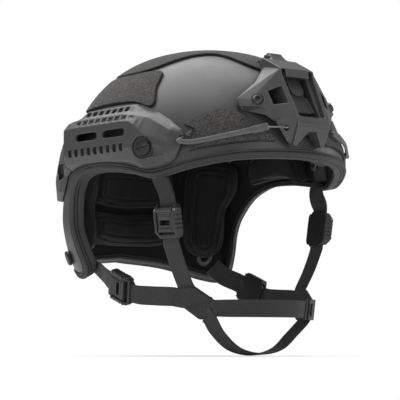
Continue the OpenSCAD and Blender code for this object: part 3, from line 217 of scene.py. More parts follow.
def lat_of(z):
    up = np.asarray(z, float) - LEVEL
    t = np.minimum(np.abs(up) / np.where(up > 0, RISE, FALL), 1)
    return np.sign(up) * np.degrees(np.arcsin(t ** (SIDE_POWER / 2)))


def on_side(turn, z, off=0.0):
    return on_dome(turn, lat_of(z), off)


def on_top(x, y, off=0.0):
    x, y = np.asarray(x, float), np.asarray(y, float)
    turn = np.degrees(np.arctan2(x, -y))
    g = np.minimum(np.hypot(x, y) / plan_r(turn), 1)
    return on_dome(turn, np.degrees(np.arccos(g ** (SIDE_POWER / 2))), off)


def normal_at(turn, z):
    """The way straight out of the shell at a place."""
    p = on_side(turn, z)
    n = unit(np.cross(on_side(turn + 0.5, z) - p, on_side(turn, z + 0.5) - p))
    return n * np.sign(np.sum(n * (p - [0, 0, LEVEL]), -1, keepdims=True))


print("crown at", round(float(on_dome(0, 90)[2]), 1), "mm")

# %% The rim as turn and height
RIM = [[0, 0], [25, -2.8], [44, -10], [61, -18.7], [75, -13.2], [90, -9.5], [104, -10.3], [114.5, -20],
       [121.2, -38], [124.2, -56], [124.8, -78], [126.4, -95.5], [132.5, -104], [142, -101.4], [160, -89.6],
       [180, -84.6]]
PER_DEGREE = 2.2
half_rim = smooth_line(RIM, 9)
rim = np.vstack([half_rim, [[360 - t, z] for t, z in half_rim[-2:0:-1]]])


def rim_inset(inset):
    """The rim moved into the shell's face. A degree of turn is about 2.2 mm there."""
    a, b = np.roll(rim, 1, 0), np.roll(rim, -1, 0)
    du = ((b[:, 0] - a[:, 0] + 540) % 360 - 180) * PER_DEGREE
    dz = b[:, 1] - a[:, 1]
    length = np.hypot(du, dz)
    return rim[:, 0] - dz / length * inset / PER_DEGREE, rim[:, 1] + du / length * inset


print("rim has", len(rim), "points")

# %% [markdown]
# ## A helper for finishes
#
# Each finish is a node material. Image textures would need pictures and a flat map of every piece. Noise
# in object space needs neither, and keeps the same grain on all pieces, at the size of the real thing.
# The helper writes the nodes in a few words. Values that are the same all over are set on the shader
# itself.


# %% Finish helper
class Finish:
    def __init__(self, name, roughness=0.6, metallic=0.0, **sockets):
        self.material = bpy.data.materials.new(name)
        self.material.use_nodes = True
        self.tree = self.material.node_tree
        self.shader = self.tree.nodes["Principled BSDF"]
        self.shader.inputs["Roughness"].default_value = roughness
        self.shader.inputs["Metallic"].default_value = metallic
        for key, value in sockets.items():
            self.shader.inputs[key.replace("_", " ")].default_value = value
        self.place = self.add("ShaderNodeTexCoord").outputs["Object"]

    def add(self, kind, **settings):
        node = self.tree.nodes.new(kind)
        for key, value in settings.items():
            setattr(node, key, value)
        return node

    def join(self, a, b):
        self.tree.links.new(a, b)

    def feed(self, node, key, value):
        if isinstance(value, bpy.types.NodeSocket):
            self.join(value, node.inputs[key])
        else:
            node.inputs[key].default_value = value

    def noise(self, scale, detail=2.0, rough=0.5):
        n = self.add("ShaderNodeTexNoise")
        for key, value in (("Scale", scale), ("Detail", detail), ("Roughness", rough),
                           ("Vector", self.place)):
            self.feed(n, key, value)
        return n.outputs["Fac"]

    def cells(self, scale):
        n = self.add("ShaderNodeTexVoronoi")
        self.feed(n, "Scale", scale)
        self.feed(n, "Vector", self.place)
        return n.outputs["Distance"]

    def math(self, kind, a, b=0.0):
        n = self.add("ShaderNodeMath", operation=kind)
        self.feed(n, 0, a)
        self.feed(n, 1, b)
        return n.outputs[0]

    def span(self, value, low, high, to_low=0.0, to_high=1.0):
        n = self.add("ShaderNodeMapRange")
        for key, v in (("Value", value), ("From Min", low), ("From Max", high), ("To Min", to_low),
                       ("To Max", to_high)):
            self.feed(n, key, v)
        return n.outputs["Result"]

    def blend(self, share, a, b):
        n = self.add("ShaderNodeMix", data_type="RGBA", blend_type="MIX")
        for key, v in ((0, share), (6, a), (7, b)):
            self.feed(n, key, v)
        return n.outputs[2]

    def attribute(self, name, part="Fac"):
        return self.add("ShaderNodeAttribute", attribute_name=name).outputs[part]

    def split(self, vector):
        n = self.add("ShaderNodeSeparateXYZ")
        self.join(vector, n.inputs[0])
        return n.outputs

    def colour(self, value):
        self.feed(self.shader, "Base Color", value)

    def rough(self, value):
        self.feed(self.shader, "Roughness", value)

    def relief(self, height, depth, strength=1.0):
        n = self.add("ShaderNodeBump")
        for key, value in (("Strength", strength), ("Distance", depth), ("Height", height)):
            self.feed(n, key, value)
        self.join(n.outputs[0], self.shader.inputs["Normal"])

    def wear_and_highlight(self, base, bright, low=0.515, high=0.56):
        """Lighter on the convex edges: partly wear where handling polishes them, partly a painted highlight
        along each edge.
        """
        edge = self.span(self.add("ShaderNodeNewGeometry").outputs["Pointiness"], low, high)
        patchy = self.span(self.noise(160, 3), 0.35, 0.65, 0.35, 1.0)
        return self.blend(self.math("MULTIPLY", edge, patchy), base, bright)


def grey(v, warm=0.0):
    return (v * (1 + warm), v, v * (1 - warm), 1.0)


# %% [markdown]
# ## The shell
#
# The real shell is one pressed composite piece of even wall, sprayed with a matt coat that has a fine
# orange-peel grain. A solidified sheet would be quick, but its thickness goes wrong where the dome bends
# most. So two sheets follow the dome rule, one at the outside and one a wall's thickness inside, and join
# along the rim and at the crown. Rows are closer near the rim. An attribute named inner lets the inside
# stay nearly black.

# %% Shell coating
f = Finish("shell_coating", 0.5)
inside = f.attribute("inner")
coat = f.blend(f.span(f.noise(16, 4, 0.55), 0.3, 0.7), grey(0.048, -0.01), grey(0.058, -0.01))
f.colour(f.blend(inside, coat, grey(0.008)))
sheen = f.span(f.noise(70, 3), 0.3, 0.7, 0.36, 0.44)
f.rough(f.math("MAXIMUM", sheen, f.math("MULTIPLY", inside, 0.85)))
f.relief(f.noise(1100, 3, 0.6), 0.00012, 0.5)
shell_coating = f.material
print("made", shell_coating.name)


# %% Riding the body
def dress(piece, nodes, body="helmet"):
    """Hands a finished piece to its moving body, in place of its solids."""
    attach(piece, body)
    if nodes:
        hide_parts(*nodes)
    return piece


# %% Shell
SHELL_ROWS, SHELL_INSET, CROWN_LAT, ROW_CROWDING = 56, 1.6, 89.2, 0.92
turns, heights = rim_inset(SHELL_INSET)
share = np.linspace(0, 1, SHELL_ROWS + 1) ** ROW_CROWDING
lats = lat_of(heights)[None, :] * (1 - share[:, None]) + CROWN_LAT * share[:, None]
faces_out = [on_dome(turns[None, :], lats, off).reshape(-1, 3) for off in (0.0, -WALL)]
crowns = [[on_dome(0, 90, off)] for off in (0, -WALL)]
n = len(turns)
half, last = (SHELL_ROWS + 1) * n, SHELL_ROWS * n
faces = tube_faces(SHELL_ROWS + 1, n) + [q[::-1] for q in tube_faces(SHELL_ROWS + 1, n, half)]
faces += fan(2 * half, last, n, 1) + fan(2 * half + 1, half + last, n)
faces += [[j, half + j, half + (j + 1) % n, (j + 1) % n] for j in range(n)]
mesh = mesh_of("shell_skin", np.vstack(faces_out + crowns), faces)
mark(mesh, "inner", np.concatenate([np.zeros(half), np.ones(half), [0, 1]]))
shell = dress(wrap_mesh("shell_skin", mesh, shell_coating), ["shell"])
print("shell faces", len(shell.data.polygons))

# %% [markdown]
# ## The rubber edge
#
# A soft U-shaped extrusion is pushed over the rim, so that no bare composite touches the wearer. A
# bevelled curve could carry a section round the rim, but it would twist at the corners. Here the section
# is drawn once, as distance from the shell's face and distance in from the rim, and each of its corners
# runs round the whole rim by the rule. The third number is painted shade: how dark the rubber is painted
# there, in the grooves of the moulding lines, where its lip meets the shell's face and inside the U.

# %% Edge rubber
f = Finish("edge_rubber", 0.6)
base = f.blend(f.span(f.noise(40, 4), 0.3, 0.7), grey(0.023), grey(0.033))
# Painted shade: the attribute edge darkens the rubber in its grooves, at the lip on the shell and inside the
# U.
f.colour(f.blend(f.attribute("edge"), base, grey(0.003)))
f.rough(f.span(f.noise(300, 3), 0.3, 0.7, 0.52, 0.68))
f.relief(f.noise(1500, 2), 0.00008, 0.5)
edge_rubber = f.material
print("made", edge_rubber.name)

# %% Edge trim
# Corners of the section: distance from the shell's face, distance in from the rim, and painted shade.
TRIM_SECTION = [
    [0.25, 5.0, 1], [0.7, 5.5, 0.6], [1.3, 5.3, 0], [1.62, 4.6, 0], [1.5, 3.9, 0], [0.9, 3.5, 0.7],
    [0.6, 3.2, 1], [0.9, 2.9, 0.7], [1.5, 2.5, 0], [1.55, 2.0, 0], [1.6, 1.3, 0], [1.35, 0.6, 0],
    [0.8, 0.15, 0], [0.0, -0.02, 0],
    [-0.7, 0.0, 0.4], [-1.0, 0.9, 1], [-1.4, 0.9, 1], [-1.7, 0.0, 0.4], [-2.4, -0.08, 0], [-3.2, -0.05, 0.4],
    [-3.5, 0.9, 1], [-3.9, 0.9, 1], [-4.2, -0.05, 0.4], [-5.5, -0.1, 0], [-8.2, 0.0, 0], [-9.2, 0.25, 0],
    [-9.8, 0.8, 0], [-10.0, 1.6, 0], [-9.9, 2.6, 0], [-9.6, 3.4, 0.4], [-9.75, 4.2, 0], [-9.9, 4.8, 0],
    [-9.6, 5.3, 0], [-8.9, 5.5, 0], [-8.2, 5.0, 1], [-8.1, 3.0, 1], [-8.1, 1.9, 1], [-7.8, 1.7, 1],
    [-4.0, 1.7, 1], [0.1, 1.7, 1], [0.2, 2.4, 1], [0.22, 4.0, 1]]
closed = TRIM_SECTION + TRIM_SECTION[:1]
rings = []
for off, inset, _ in closed:
    t, z = rim_inset(inset)
    rings.append(on_side(t, z, off))
mesh = mesh_of("edge_trim_rubber", np.array(rings).reshape(-1, 3), tube_faces(len(rings), len(rim)))
# The attribute edge carries the painted shade of each corner of the section.
mark(mesh, "edge", np.repeat([dark for _, _, dark in closed], len(rim)))
trim = dress(wrap_mesh("edge_trim_rubber", mesh, edge_rubber), ["edge_trim"])
print("trim faces", len(trim.data.polygons))

# %% [markdown]
# ## Loop panels
#
# Patches are stuck on with die-cut loop fabric: a flat mat of tiny matted loops. Real loops as hairs
# would cost millions of faces and can't be seen at this distance, so the mat is a noise in colour and
# relief, and only the form is geometry. Each panel is its outline, filled with rings that shrink to its
# middle and laid on the dome rule, with a rolled edge. An attribute named edge runs from 0 inside to 1 at
# the cut, and darkens it there as painted shade, where the rolled edge meets the shell.

# %% Loop pile
f = Finish("loop_pile", 0.97, Sheen_Weight=0.08, Sheen_Roughness=0.6)
grain = f.noise(520, 3, 0.75)
tuft = f.math("ADD", grain, f.math("MULTIPLY", f.cells(800), 0.3))
base = f.blend(f.span(tuft, 0.48, 0.82), grey(0.012, 0.03), grey(0.1, 0.05))
base = f.blend(f.span(f.noise(60, 3), 0.35, 0.7, 0.0, 0.5), base, grey(0.03, 0.05))
# Painted shade: darker towards the cut, where the rolled edge meets the shell.
f.colour(f.blend(f.span(f.attribute("edge"), 0.3, 0.9), base, grey(0.006)))
f.relief(f.math("ADD", grain, f.math("MULTIPLY", f.cells(760), 0.7)), 0.0011, 1.0)
loop_pile = f.material
print("made", loop_pile.name)

# %% Panel maker
LOOP_BASE, LOOP_T, LOOP_BORDER = 0.35, 1.9, 2.4
# Rings of the rolled edge: distance back from the cut, height, and painted shade.
ROLLED_EDGE = ((1.7, 1.0, 0.0), (1.1, 0.97, 0.6), (0.6, 0.86, 1.0), (0.2, 0.62, 1.0), (0.0, 0.3, 1.0),
               (0.0, 0.0, 1.0))


def panel(name, outline, middle, on_crown=False, rings=16):
    """A panel from its outline, as turn and height, or as x and y on the crown."""
    line, mid = smooth_loop(outline, 7), np.asarray(middle, float)
    lay = on_top if on_crown else on_side
    reach = np.linalg.norm((line - mid) * ([1, 1] if on_crown else [PER_DEGREE, 1]), axis=1)
    n = len(line)

    def ring(share, off):
        q = mid + (line - mid) * share[:, None]
        return lay(q[:, 0], q[:, 1], off)

    points = [ring(np.minimum(i / rings, 1 - LOOP_BORDER / reach), LOOP_BASE + LOOP_T)
              for i in range(1, rings)]
    edge = [0.0] * len(points)
    # Each ring of the rolled edge gets its painted shade, which the finish reads as the attribute edge.
    for back, high, dark in ROLLED_EDGE:
        points.append(ring(1 - back / reach, LOOP_BASE + LOOP_T * high))
        edge.append(dark)
    points.append(ring(np.full(n, 0.6), LOOP_BASE))
    edge.append(1.0)
    rows = len(points)
    middles = [[lay(*mid, LOOP_BASE + LOOP_T)], [lay(*mid, LOOP_BASE)]]
    faces = tube_faces(rows, n) + fan(rows * n, 0, n, 1) + fan(rows * n + 1, (rows - 1) * n, n)
    mesh = mesh_of(name, np.vstack(points + middles), faces)
    mark(mesh, "edge", np.append(np.repeat(edge, n), [0, 1]))
    return wrap_mesh(name, mesh, loop_pile)


# %% Twins
def twin(piece, name):
    """The mirrored copy of a finished piece, for the other side of the helmet."""
    mesh = piece.data.copy()
    mesh.transform(Matrix.Scale(-1, 4, (1, 0, 0)))
    mesh.flip_normals()
    other = bpy.data.objects.new(name, mesh)
    bpy.context.scene.collection.objects.link(other)
    return other


def dress_pair(right, node, moving=False):
    """Dresses a piece of the wearer's right side and its twin on the left."""
    left = twin(right, right.name.replace("right", "left"))
    for piece, solid in ((right, node + "_right"), (left, node + "_left")):
        dress(piece, [solid], solid + "_body" if moving else "helmet")
    return left


# %% Panels on the shell
SIDE_LOOP = [[-66, 62], [-66, 75], [-68, 78.4], [-75, 79.6], [-90, 79.2], [-107, 79.2], [-124, 78.6],
             [-137, 76.6], [-141, 68], [-140, 56], [-134, 51.5], [-118, 50.5], [-96, 50.5], [-80, 50],
             [-74, 48.2], [-70, 45.8], [-66.4, 43.8], [-64.4, 47], [-65, 54]]
FRONT_LOOP = [[-46.2, 1.2], [-42, 3.6], [-30, 7.6], [-19, 10.6], [-12.6, 11.4], [-16, 20], [-21, 28.5],
              [-27, 36.5], [-34.5, 38.6], [-40, 34.4], [-46, 28.6], [-48.6, 25.2], [-44.6, 20.5], [-44, 10],
              [-44.6, 4]]
CROWN_HALF = [[-4.6, -79.6], [-7.8, -86.4], [-9.4, -90.8], [-12, -90.6], [-18.6, -84.6], [-24, -75],
              [-27.4, -63.4], [-32.4, -50], [-46, -39.6], [-60.4, -31.2], [-72.6, -19.2], [-77.6, -3],
              [-77.6, 14], [-73.6, 32], [-64.4, 51], [-48, 69], [-26, 81]]
CROWN_LOOP = [[0, -76.6]] + CROWN_HALF + [[0, 86]] + [[-x, y] for x, y in CROWN_HALF[::-1]]
REAR_LOOP = [[-148, 30], [-147, 48], [-149, 66], [-156, 73], [-168, 74.5], [-180, 75], [-192, 74.5],
             [-204, 73], [-211, 66], [-213, 48], [-212, 30], [-204, 24], [-180, 22], [-156, 24]]
side_loop = panel("side_loop_right", SIDE_LOOP, [-96, 64])
front_loop = panel("front_loop_right", FRONT_LOOP, [-31, 20])
dress_pair(side_loop, "side_loop_panel")
dress_pair(front_loop, "front_loop_panel")
crown_loop = panel("crown_loop", CROWN_LOOP, [0, 5], True, 24)
dress(crown_loop, ["crown_loop_panel"])
rear_loop = panel("rear_loop", REAR_LOOP, [-180, 48])
dress(rear_loop, ["rear_loop_panel"])
for made in (side_loop, front_loop, crown_loop, rear_loop):
    print(made.name, len(made.data.polygons), "faces")


# %% [markdown]
# ## Moulded plastic parts
#
# Rails, arms, bridge and shroud come out of a mould, so no edge on them is sharp. A Bevel modifier would
# round them, but it fails where many cuts meet. The CAD solid has the right shape, so a merged copy is
# wrapped in a fine voxel skin, relaxed a few steps so that every edge gets a small radius, and thinned
# where it is flat. The same is done for the adjusters and the buckle. The finish is lighter on the edges:
# partly polish from handling, partly a painted highlight along them.


# %% Moulded finishes
def moulded(name, dark, light, low_rough, high_rough, edge):
    f = Finish(name, 0.5)
    base = f.blend(f.span(f.noise(30, 4), 0.3, 0.7), grey(dark), grey(light))
    # Lighter edges: partly wear, partly a painted highlight.
    f.colour(f.wear_and_highlight(base, grey(edge)))
    f.rough(f.span(f.noise(220, 3), 0.3, 0.7, low_rough, high_rough))
    f.relief(f.noise(1800, 2, 0.6), 0.00009, 0.45)
    return f.material


rail_plastic = moulded("rail_plastic", 0.05, 0.062, 0.38, 0.48, 0.16)
shroud_plastic = moulded("shroud_plastic", 0.05, 0.064, 0.38, 0.48, 0.19)
insert_plastic = moulded("insert_plastic", 0.03, 0.042, 0.42, 0.55, 0.1)
black_plastic = moulded("black_plastic", 0.022, 0.03, 0.36, 0.48, 0.08)
lever_plastic = moulded("lever_plastic", 0.03, 0.04, 0.38, 0.5, 0.1)
print("made five moulded finishes")


# %% Soft-edged copies
def settle(piece):
    """Turns a piece with its modifiers into a plain mesh."""
    bpy.context.view_layer.update()
    graph = bpy.context.evaluated_depsgraph_get()
    source = piece.evaluated_get(graph)
    mesh = bpy.data.meshes.new_from_object(source, preserve_all_data_layers=True, depsgraph=graph)
    piece.modifiers.clear()
    piece.data = mesh
    return piece


def merged_copy(name, finish, node):
    """A copy of a CAD solid with its loose triangles merged, to work on."""
    bm = bmesh.new()
    bm.from_mesh(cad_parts[node].data)
    bmesh.ops.remove_doubles(bm, verts=bm.verts, dist=1e-6)
    mesh = bpy.data.meshes.new(name)
    bm.to_mesh(mesh)
    bm.free()
    piece = show(name, mesh, finish)
    bpy.context.view_layer.update()
    return piece


def soften(piece, voxel=0.55, rounds=4, keep=0.3):
    skin = piece.modifiers.new("skin", "REMESH")
    skin.mode = "VOXEL"
    skin.voxel_size = voxel * MM
    relax = piece.modifiers.new("relax", "SMOOTH")
    relax.factor = 0.5
    relax.iterations = rounds
    thin = piece.modifiers.new("thin", "DECIMATE")
    thin.ratio = keep
    settle(piece)
    piece.data.validate()
    piece.data.shade_smooth()
    print(piece.name, len(piece.data.polygons), "faces")
    return piece


# %% [markdown]
# Before a copy is wrapped, small forms that the mould really has are welded on or cut out of it. They
# could be drawn in the solid too, but here they are quick to fit to the photograph. Each is the convex
# hull of a few points. `Stand` is a place with its own axes, and `probe` finds the copy's face under such
# a place.


# %% Places with their own axes
class Stand:
    def __init__(self, origin, up, out):
        self.origin = np.asarray(origin, float)
        self.z = unit(up)
        self.x = unit(np.cross(out, self.z))
        self.y = np.cross(self.z, self.x)

    def at(self, a, b, c):
        return self.origin + self.x * a + self.y * b + self.z * c

    def box(self, low, high):
        sides = list(zip(low, high))
        return [self.at(a, b, c) for a in sides[0] for b in sides[1] for c in sides[2]]


def probe(piece, start, way):
    """Where a ray from outside meets the piece. If it misses by a hair, the nearest place is taken."""
    start = Vector(np.asarray(start) * MM)
    hit, place, _, _ = piece.ray_cast(start, Vector(way))
    if not hit:
        place = piece.closest_point_on_mesh(start)[1]
    return np.array(place) / MM


# %% Welding and cutting
def hulls(name, solids):
    """One mesh of convex solids, each from its corner points."""
    bm = bmesh.new()
    for points in solids:
        verts = [bm.verts.new(Vector(p) * MM) for p in points]
        done = bmesh.ops.convex_hull(bm, input=verts)
        spare = done["geom_interior"] + done["geom_unused"]
        loose = {g for g in spare if isinstance(g, bmesh.types.BMVert)}
        bmesh.ops.delete(bm, geom=list(loose), context="VERTS")
    bmesh.ops.recalc_face_normals(bm, faces=bm.faces)
    mesh = bpy.data.meshes.new(name)
    bm.to_mesh(mesh)
    bm.free()
    return mesh


def weld(piece, solids):
    bm = bmesh.new()
    bm.from_mesh(piece.data)
    bm.from_mesh(hulls("welded", solids))
    bm.to_mesh(piece.data)
    bm.free()
    return piece


def carve(piece, solids, least=0.4):
    """Cuts convex solids out of a closed piece, one by one. A cut that loses most of it is undone."""
    for k, points in enumerate(solids):
        knife = bpy.data.objects.new("knife", hulls("knife", [points]))
        bpy.context.scene.collection.objects.link(knife)
        before = piece.data
        for careful in (False, True):
            piece.data = before
            cut = piece.modifiers.new("cut", "BOOLEAN")
            cut.operation, cut.object, cut.solver = "DIFFERENCE", knife, "EXACT"
            cut.use_self = cut.use_hole_tolerant = careful
            settle(piece)
            if len(piece.data.polygons) > len(before.polygons) * least:
                break
        else:
            print("cut", k, "left", piece.name, "as it was")
            piece.data = before
        bpy.data.objects.remove(knife)
    return piece


# %% [markdown]
# ### Side rails
#
# The rail is a long ledge for lamps and headsets. Its nose runs down beside the brow and ends in the
# mouth that the lanyard comes out of. Below the front screw lies a shallow pocket, and three rows of
# small openings save weight.

# %% Pocket, mouth and nose of the rail
RAIL_FACE = 124.0
SCREW_TURN, SCREW_Z, SCREW_STAND = -65, 6, 6.6
SCREW_ANGLE = math.radians(SCREW_TURN)
FRONT_SCREW_OUT = np.array([math.sin(SCREW_ANGLE), -math.cos(SCREW_ANGLE), 0])
FRONT_SEAT = on_side(SCREW_TURN, SCREW_Z, 0) + FRONT_SCREW_OUT * SCREW_STAND
ABOVE = 40
rail = merged_copy("rail_moulding_right", rail_plastic, "rail_right")
mouth = Stand(on_side(-51, 11.5, 3), normal_at(-50, 11.5), [0, 0, 1])
lid = []
for a in np.arange(-16, 2.1, 2):
    rows = [probe(rail, mouth.at(a, b, ABOVE), -mouth.z) for b in (-3.8, 3.8)]
    lid += [face - mouth.z * deep for face in rows for deep in (0.1, 2.4)]
pocket = Stand(FRONT_SEAT, FRONT_SCREW_OUT, [0, 0, 1])
POCKET = ((0, -9.6, 1.7), (14, -8.6, 1.3), (21, -7.6, 0.3), (14, 3, -0.2), (21, 0, -0.3))
cuts = [[]]
for a, b, deep in POCKET:
    face = probe(rail, pocket.at(a, b, ABOVE), -pocket.z)
    cuts[0] += [face - pocket.z * deep, face + pocket.z * 9]
NOSE = [[-58.9, 36.6], [-49.6, 19.6], [-48.6, 14.6], [-49.2, 8.4], [-51.6, -4.8], [-55.6, -12.6]]
for a, b in zip(np.array(NOSE), np.array(NOSE)[1:]):
    way = b - a
    away = unit([-way[1] / PER_DEGREE, way[0] * PER_DEGREE]) * [9, 20]
    corners = [a - way * 0.15, b + way * 0.15, b + way * 0.15 + away, a - way * 0.15 + away]
    cuts.append([on_side(t, z, off) for t, z in corners for off in (0.6, 34)])
print("nose and pocket take", len(cuts), "cuts")

# %% Rows of openings in the rail
PITCH = 9.5
for i in range(-4, 5):
    y = 7 + i * PITCH
    cuts.append([(x, y + dy, z) for x in (-RAIL_FACE - 3, -RAIL_FACE + 4.4) for dy in (-2.5, 2.5)
                 for z in (4.6, 11.4)])
    notch = Stand([-RAIL_FACE + 1.6, -3.5 + i * PITCH, 34.6], [-0.8, 0, 0.6], [0, 1, 0])
    cuts.append([notch.at(a, b + 0.25 * a, c) for a in (-2.6, 2.6) for b in (-2.7, 2.7) for c in (-2.6, 6)])
for i in range(-3, 4):
    hole = Stand([-RAIL_FACE + 12.2, 3.5 + i * PITCH, 43.0], [-0.62, 0, 0.78], [0, 1, 0])
    cuts.append(hole.box((-1.9, -2.9, -3.4), (1.9, 2.9, 8)))
weld(carve(rail, cuts), [lid])
dress_pair(soften(rail), "rail")
print("rail took", len(cuts), "cuts")

# %% [markdown]
# ### Rear arms and bridge
#
# Some forms are easiest to place where the photograph shows them. `sight` sends a ray from the camera
# through a pixel of the 400 pixel wide picture, and `prism` makes a cutter along such rays between two
# distances.


# %% Lines of sight
def sight_way(px, py):
    across = unit(np.cross(-np.array(TO_CAMERA), [0, 0, 1]))
    up = np.cross(across, -np.array(TO_CAMERA))
    step = camera.data.sensor_width / camera.data.lens / PHOTO_SIDE
    middle = PHOTO_SIDE / 2
    return unit(-np.array(TO_CAMERA) + across * (px - middle) * step + up * (middle - py) * step)


def sight(piece, px, py):
    """The place on the piece that the camera sees at a pixel, in millimetres."""
    return probe(piece, EYE, sight_way(px, py))


def prism(px_points, low, high):
    return [EYE + sight_way(px, py) * d for px, py in px_points for d in (low, high)]


EYE = np.array(camera.location) / MM
print("eye at", EYE.round(1), "mm")

# %% Arms and bridge
ARM_WINDOW_PX = [[58, 166], [63.4, 163], [64, 177], [59.4, 181]]
arm = merged_copy("rail_arm_moulding_right", rail_plastic, "rail_arm_right")
window = [np.linalg.norm(sight(arm, *q) - EYE) for q in ARM_WINDOW_PX]
carve(arm, [prism(ARM_WINDOW_PX, min(window) - 12, max(window) + 3.2)])
dress_pair(soften(arm), "rail_arm")
bridge = soften(merged_copy("rear_bridge_moulding", rail_plastic, "rear_bridge"))
dress(bridge, ["rear_bridge"])


# %% [markdown]
# ### Shroud and its insert
#
# The shroud holds a night vision mount, and the insert in its recess has a tongue that the mount's latch
# grips. The shroud's wings thin out towards the brow with a crease along each edge, which the solid
# leaves plain. The cutters follow the edge and the crease as the camera sees them, on the near half only.
# The other half could be cut again from the far side, but mirroring the near half is safer and exact.


# %% Mirrored halves
def mirror_half(piece):
    """Keeps the half with negative x and puts its mirrored copy at the other side."""
    bm = bmesh.new()
    bm.from_mesh(piece.data)
    everything = list(bm.verts) + list(bm.edges) + list(bm.faces)
    cut = bmesh.ops.bisect_plane(bm, geom=everything, plane_co=(0, 0, 0), plane_no=(1, 0, 0),
                                 clear_outer=True)
    rim_edges = [g for g in cut["geom_cut"] if isinstance(g, bmesh.types.BMEdge)]
    bmesh.ops.holes_fill(bm, edges=rim_edges)
    again = bmesh.ops.duplicate(bm, geom=list(bm.verts) + list(bm.edges) + list(bm.faces))
    copies = {g for g in again["geom"] if isinstance(g, bmesh.types.BMVert)}
    for v in copies:
        v.co.x = -v.co.x
    bmesh.ops.reverse_faces(bm, faces=[g for g in again["geom"] if isinstance(g, bmesh.types.BMFace)])
    for v in bm.verts:
        if abs(v.co.x) < 1e-6:
            v.co.x = 2e-5 if v in copies else -2e-5
    bm.to_mesh(piece.data)
    bm.free()
    return piece


# %% Shroud
WING_PX = [[234, 111], [243, 110.6], [265.5, 114.8], [276, 122.5], [281.5, 131.5], [288, 143]]
CREASE_PX = [[241, 105.5], [267, 106.6], [281, 117]]
WING_NEAR, WING_FAR = 1560, 1700
LUG_HALF, LUG_Y, LUG_Z, LUG_R = 7.4, -96.4, 91.6, 4.2
shroud = merged_copy("shroud_moulding", shroud_plastic, "shroud")
cuts = [[(-13.6, -142, 77), (-19.2, -142, 77), (-13.6, -119.5, 77), (-18.4, -119.5, 77),
         (-13.6, -166, 34), (-16.4, -166, 34), (-13.6, -140.5, 34), (-15.6, -140.5, 34)]]
for a, b in zip(np.array(WING_PX), np.array(WING_PX)[1:]):
    way = b - a
    away = unit([-way[1], way[0]]) * 16
    over = way * 0.05
    cuts.append(prism([a - over, b + over, b + over + away, a - over + away], WING_NEAR, WING_FAR))
for ends in zip(CREASE_PX, CREASE_PX[1:], WING_PX[1:], WING_PX[2:]):
    places = [sight(shroud, *q) for q in ends]
    top = places[:2]
    toward = unit(EYE - top[0])
    low = [q - toward * 3.4 + (q - t) * 0.25 for q, t in zip(places[2:], top)]
    cuts.append(top + low + [q + toward * 14 for q in top] + [q + toward * 20 for q in low])
mirror_half(carve(shroud, cuts))
lug = [(x, LUG_Y + LUG_R * math.cos(a), LUG_Z + LUG_R * math.sin(a)) for x in (-LUG_HALF, LUG_HALF)
       for a in np.radians(range(0, 360, 24))]
LUG_FOOT = ((-100, 90), (-93, 90), (-104, 84), (-94, 84))
weld(shroud, [lug, [(x, y, z) for x in (-LUG_HALF, LUG_HALF) for y, z in LUG_FOOT]])
dress(soften(shroud, 0.5, 4, 0.4), ["shroud"])

# %% Shroud insert
insert = merged_copy("shroud_insert_moulding", insert_plastic, "shroud_insert")
foot, head = np.array([0, -131, 33.0]), np.array([0, -107, 70.0])
lean = unit(head - foot)
bed = Stand((foot + head) / 2 + [0, -lean[2] * 0.3, lean[1] * 0.3], lean, [0, -lean[2], lean[1]])
tongue = [(x, y, z) for x in (-8.2, 8.2) for y in (6, 10.6) for z in (4, 20)]
tongue += [(8.2 * math.cos(a), y, 3 + 7 * math.sin(a)) for y in (6, 10.2)
           for a in np.radians(range(180, 361, 20))]
insert_floor = bed.box((-10.6, 0.4, -20.5), (10.6, 6.6, 20))
insert_rim = bed.box((-10.6, 6, -20.5), (-8.8, 8.2, -4))
weld(insert, [insert_floor, [bed.at(*q) for q in tongue], insert_rim])
dress(soften(insert, 0.4, 3, 0.35), ["shroud_insert"])

# %% [markdown]
# ## Straps
#
# Flat polyester webbing holds the helmet on the head. Simulated cloth would sag and tangle at this width,
# and webbing is stiff across, so each strap is modelled where it lies: a thin band with rolled edges that
# follows the route of its solid, with a slight ripple. The band keeps a map in millimetres, along and
# across, so that the weave follows every bend.

# %% Webbing
WEAVE_PITCH, WEAVE_STEP = 1.15, 1.7
WEB_DARK, WEB_LIGHT = 0.022, 0.044
f = Finish("webbing", 0.85, Sheen_Weight=0.15, Sheen_Roughness=0.5)
along, across, _ = f.split(f.add("ShaderNodeTexCoord").outputs["UV"])
row = f.math("FLOOR", f.math("MULTIPLY", across, 1 / WEAVE_PITCH))
phase = f.math("MULTIPLY", along, 2 * math.pi / (WEAVE_STEP * WEAVE_PITCH))
wave = f.math("SINE", f.math("ADD", phase, f.math("MULTIPLY", row, math.pi)))
yarn = f.math("ABSOLUTE", f.math("SINE", f.math("MULTIPLY", across, math.pi / WEAVE_PITCH)))
height = f.math("MULTIPLY", f.math("ADD", wave, 1.4), yarn)
tone = f.math("ADD", f.math("MULTIPLY", height, 0.3), f.math("MULTIPLY", f.noise(260, 4), 0.35))
base = f.blend(f.span(tone, 0.1, 0.8), grey(WEB_DARK), grey(WEB_LIGHT))
base = f.blend(f.span(f.noise(22, 3), 0.35, 0.65, 0, 0.2), base, grey(WEB_LIGHT * 1.15))
# Painted shadow: darker along the rolled rims of the sewn patches, read from the attribute edge.
f.colour(f.blend(f.span(f.attribute("edge"), 0.3, 1.0), base, grey(0.007)))
f.relief(f.math("ADD", height, f.math("MULTIPLY", f.noise(1500, 2), 0.4)), 0.00016, 0.7)
webbing = f.material
print("made", webbing.name)

# %% Strap maker
WEB_W, WEB_T = 19.0, 1.6
STRAP_STEP, RIPPLE = 1.6, 0.12


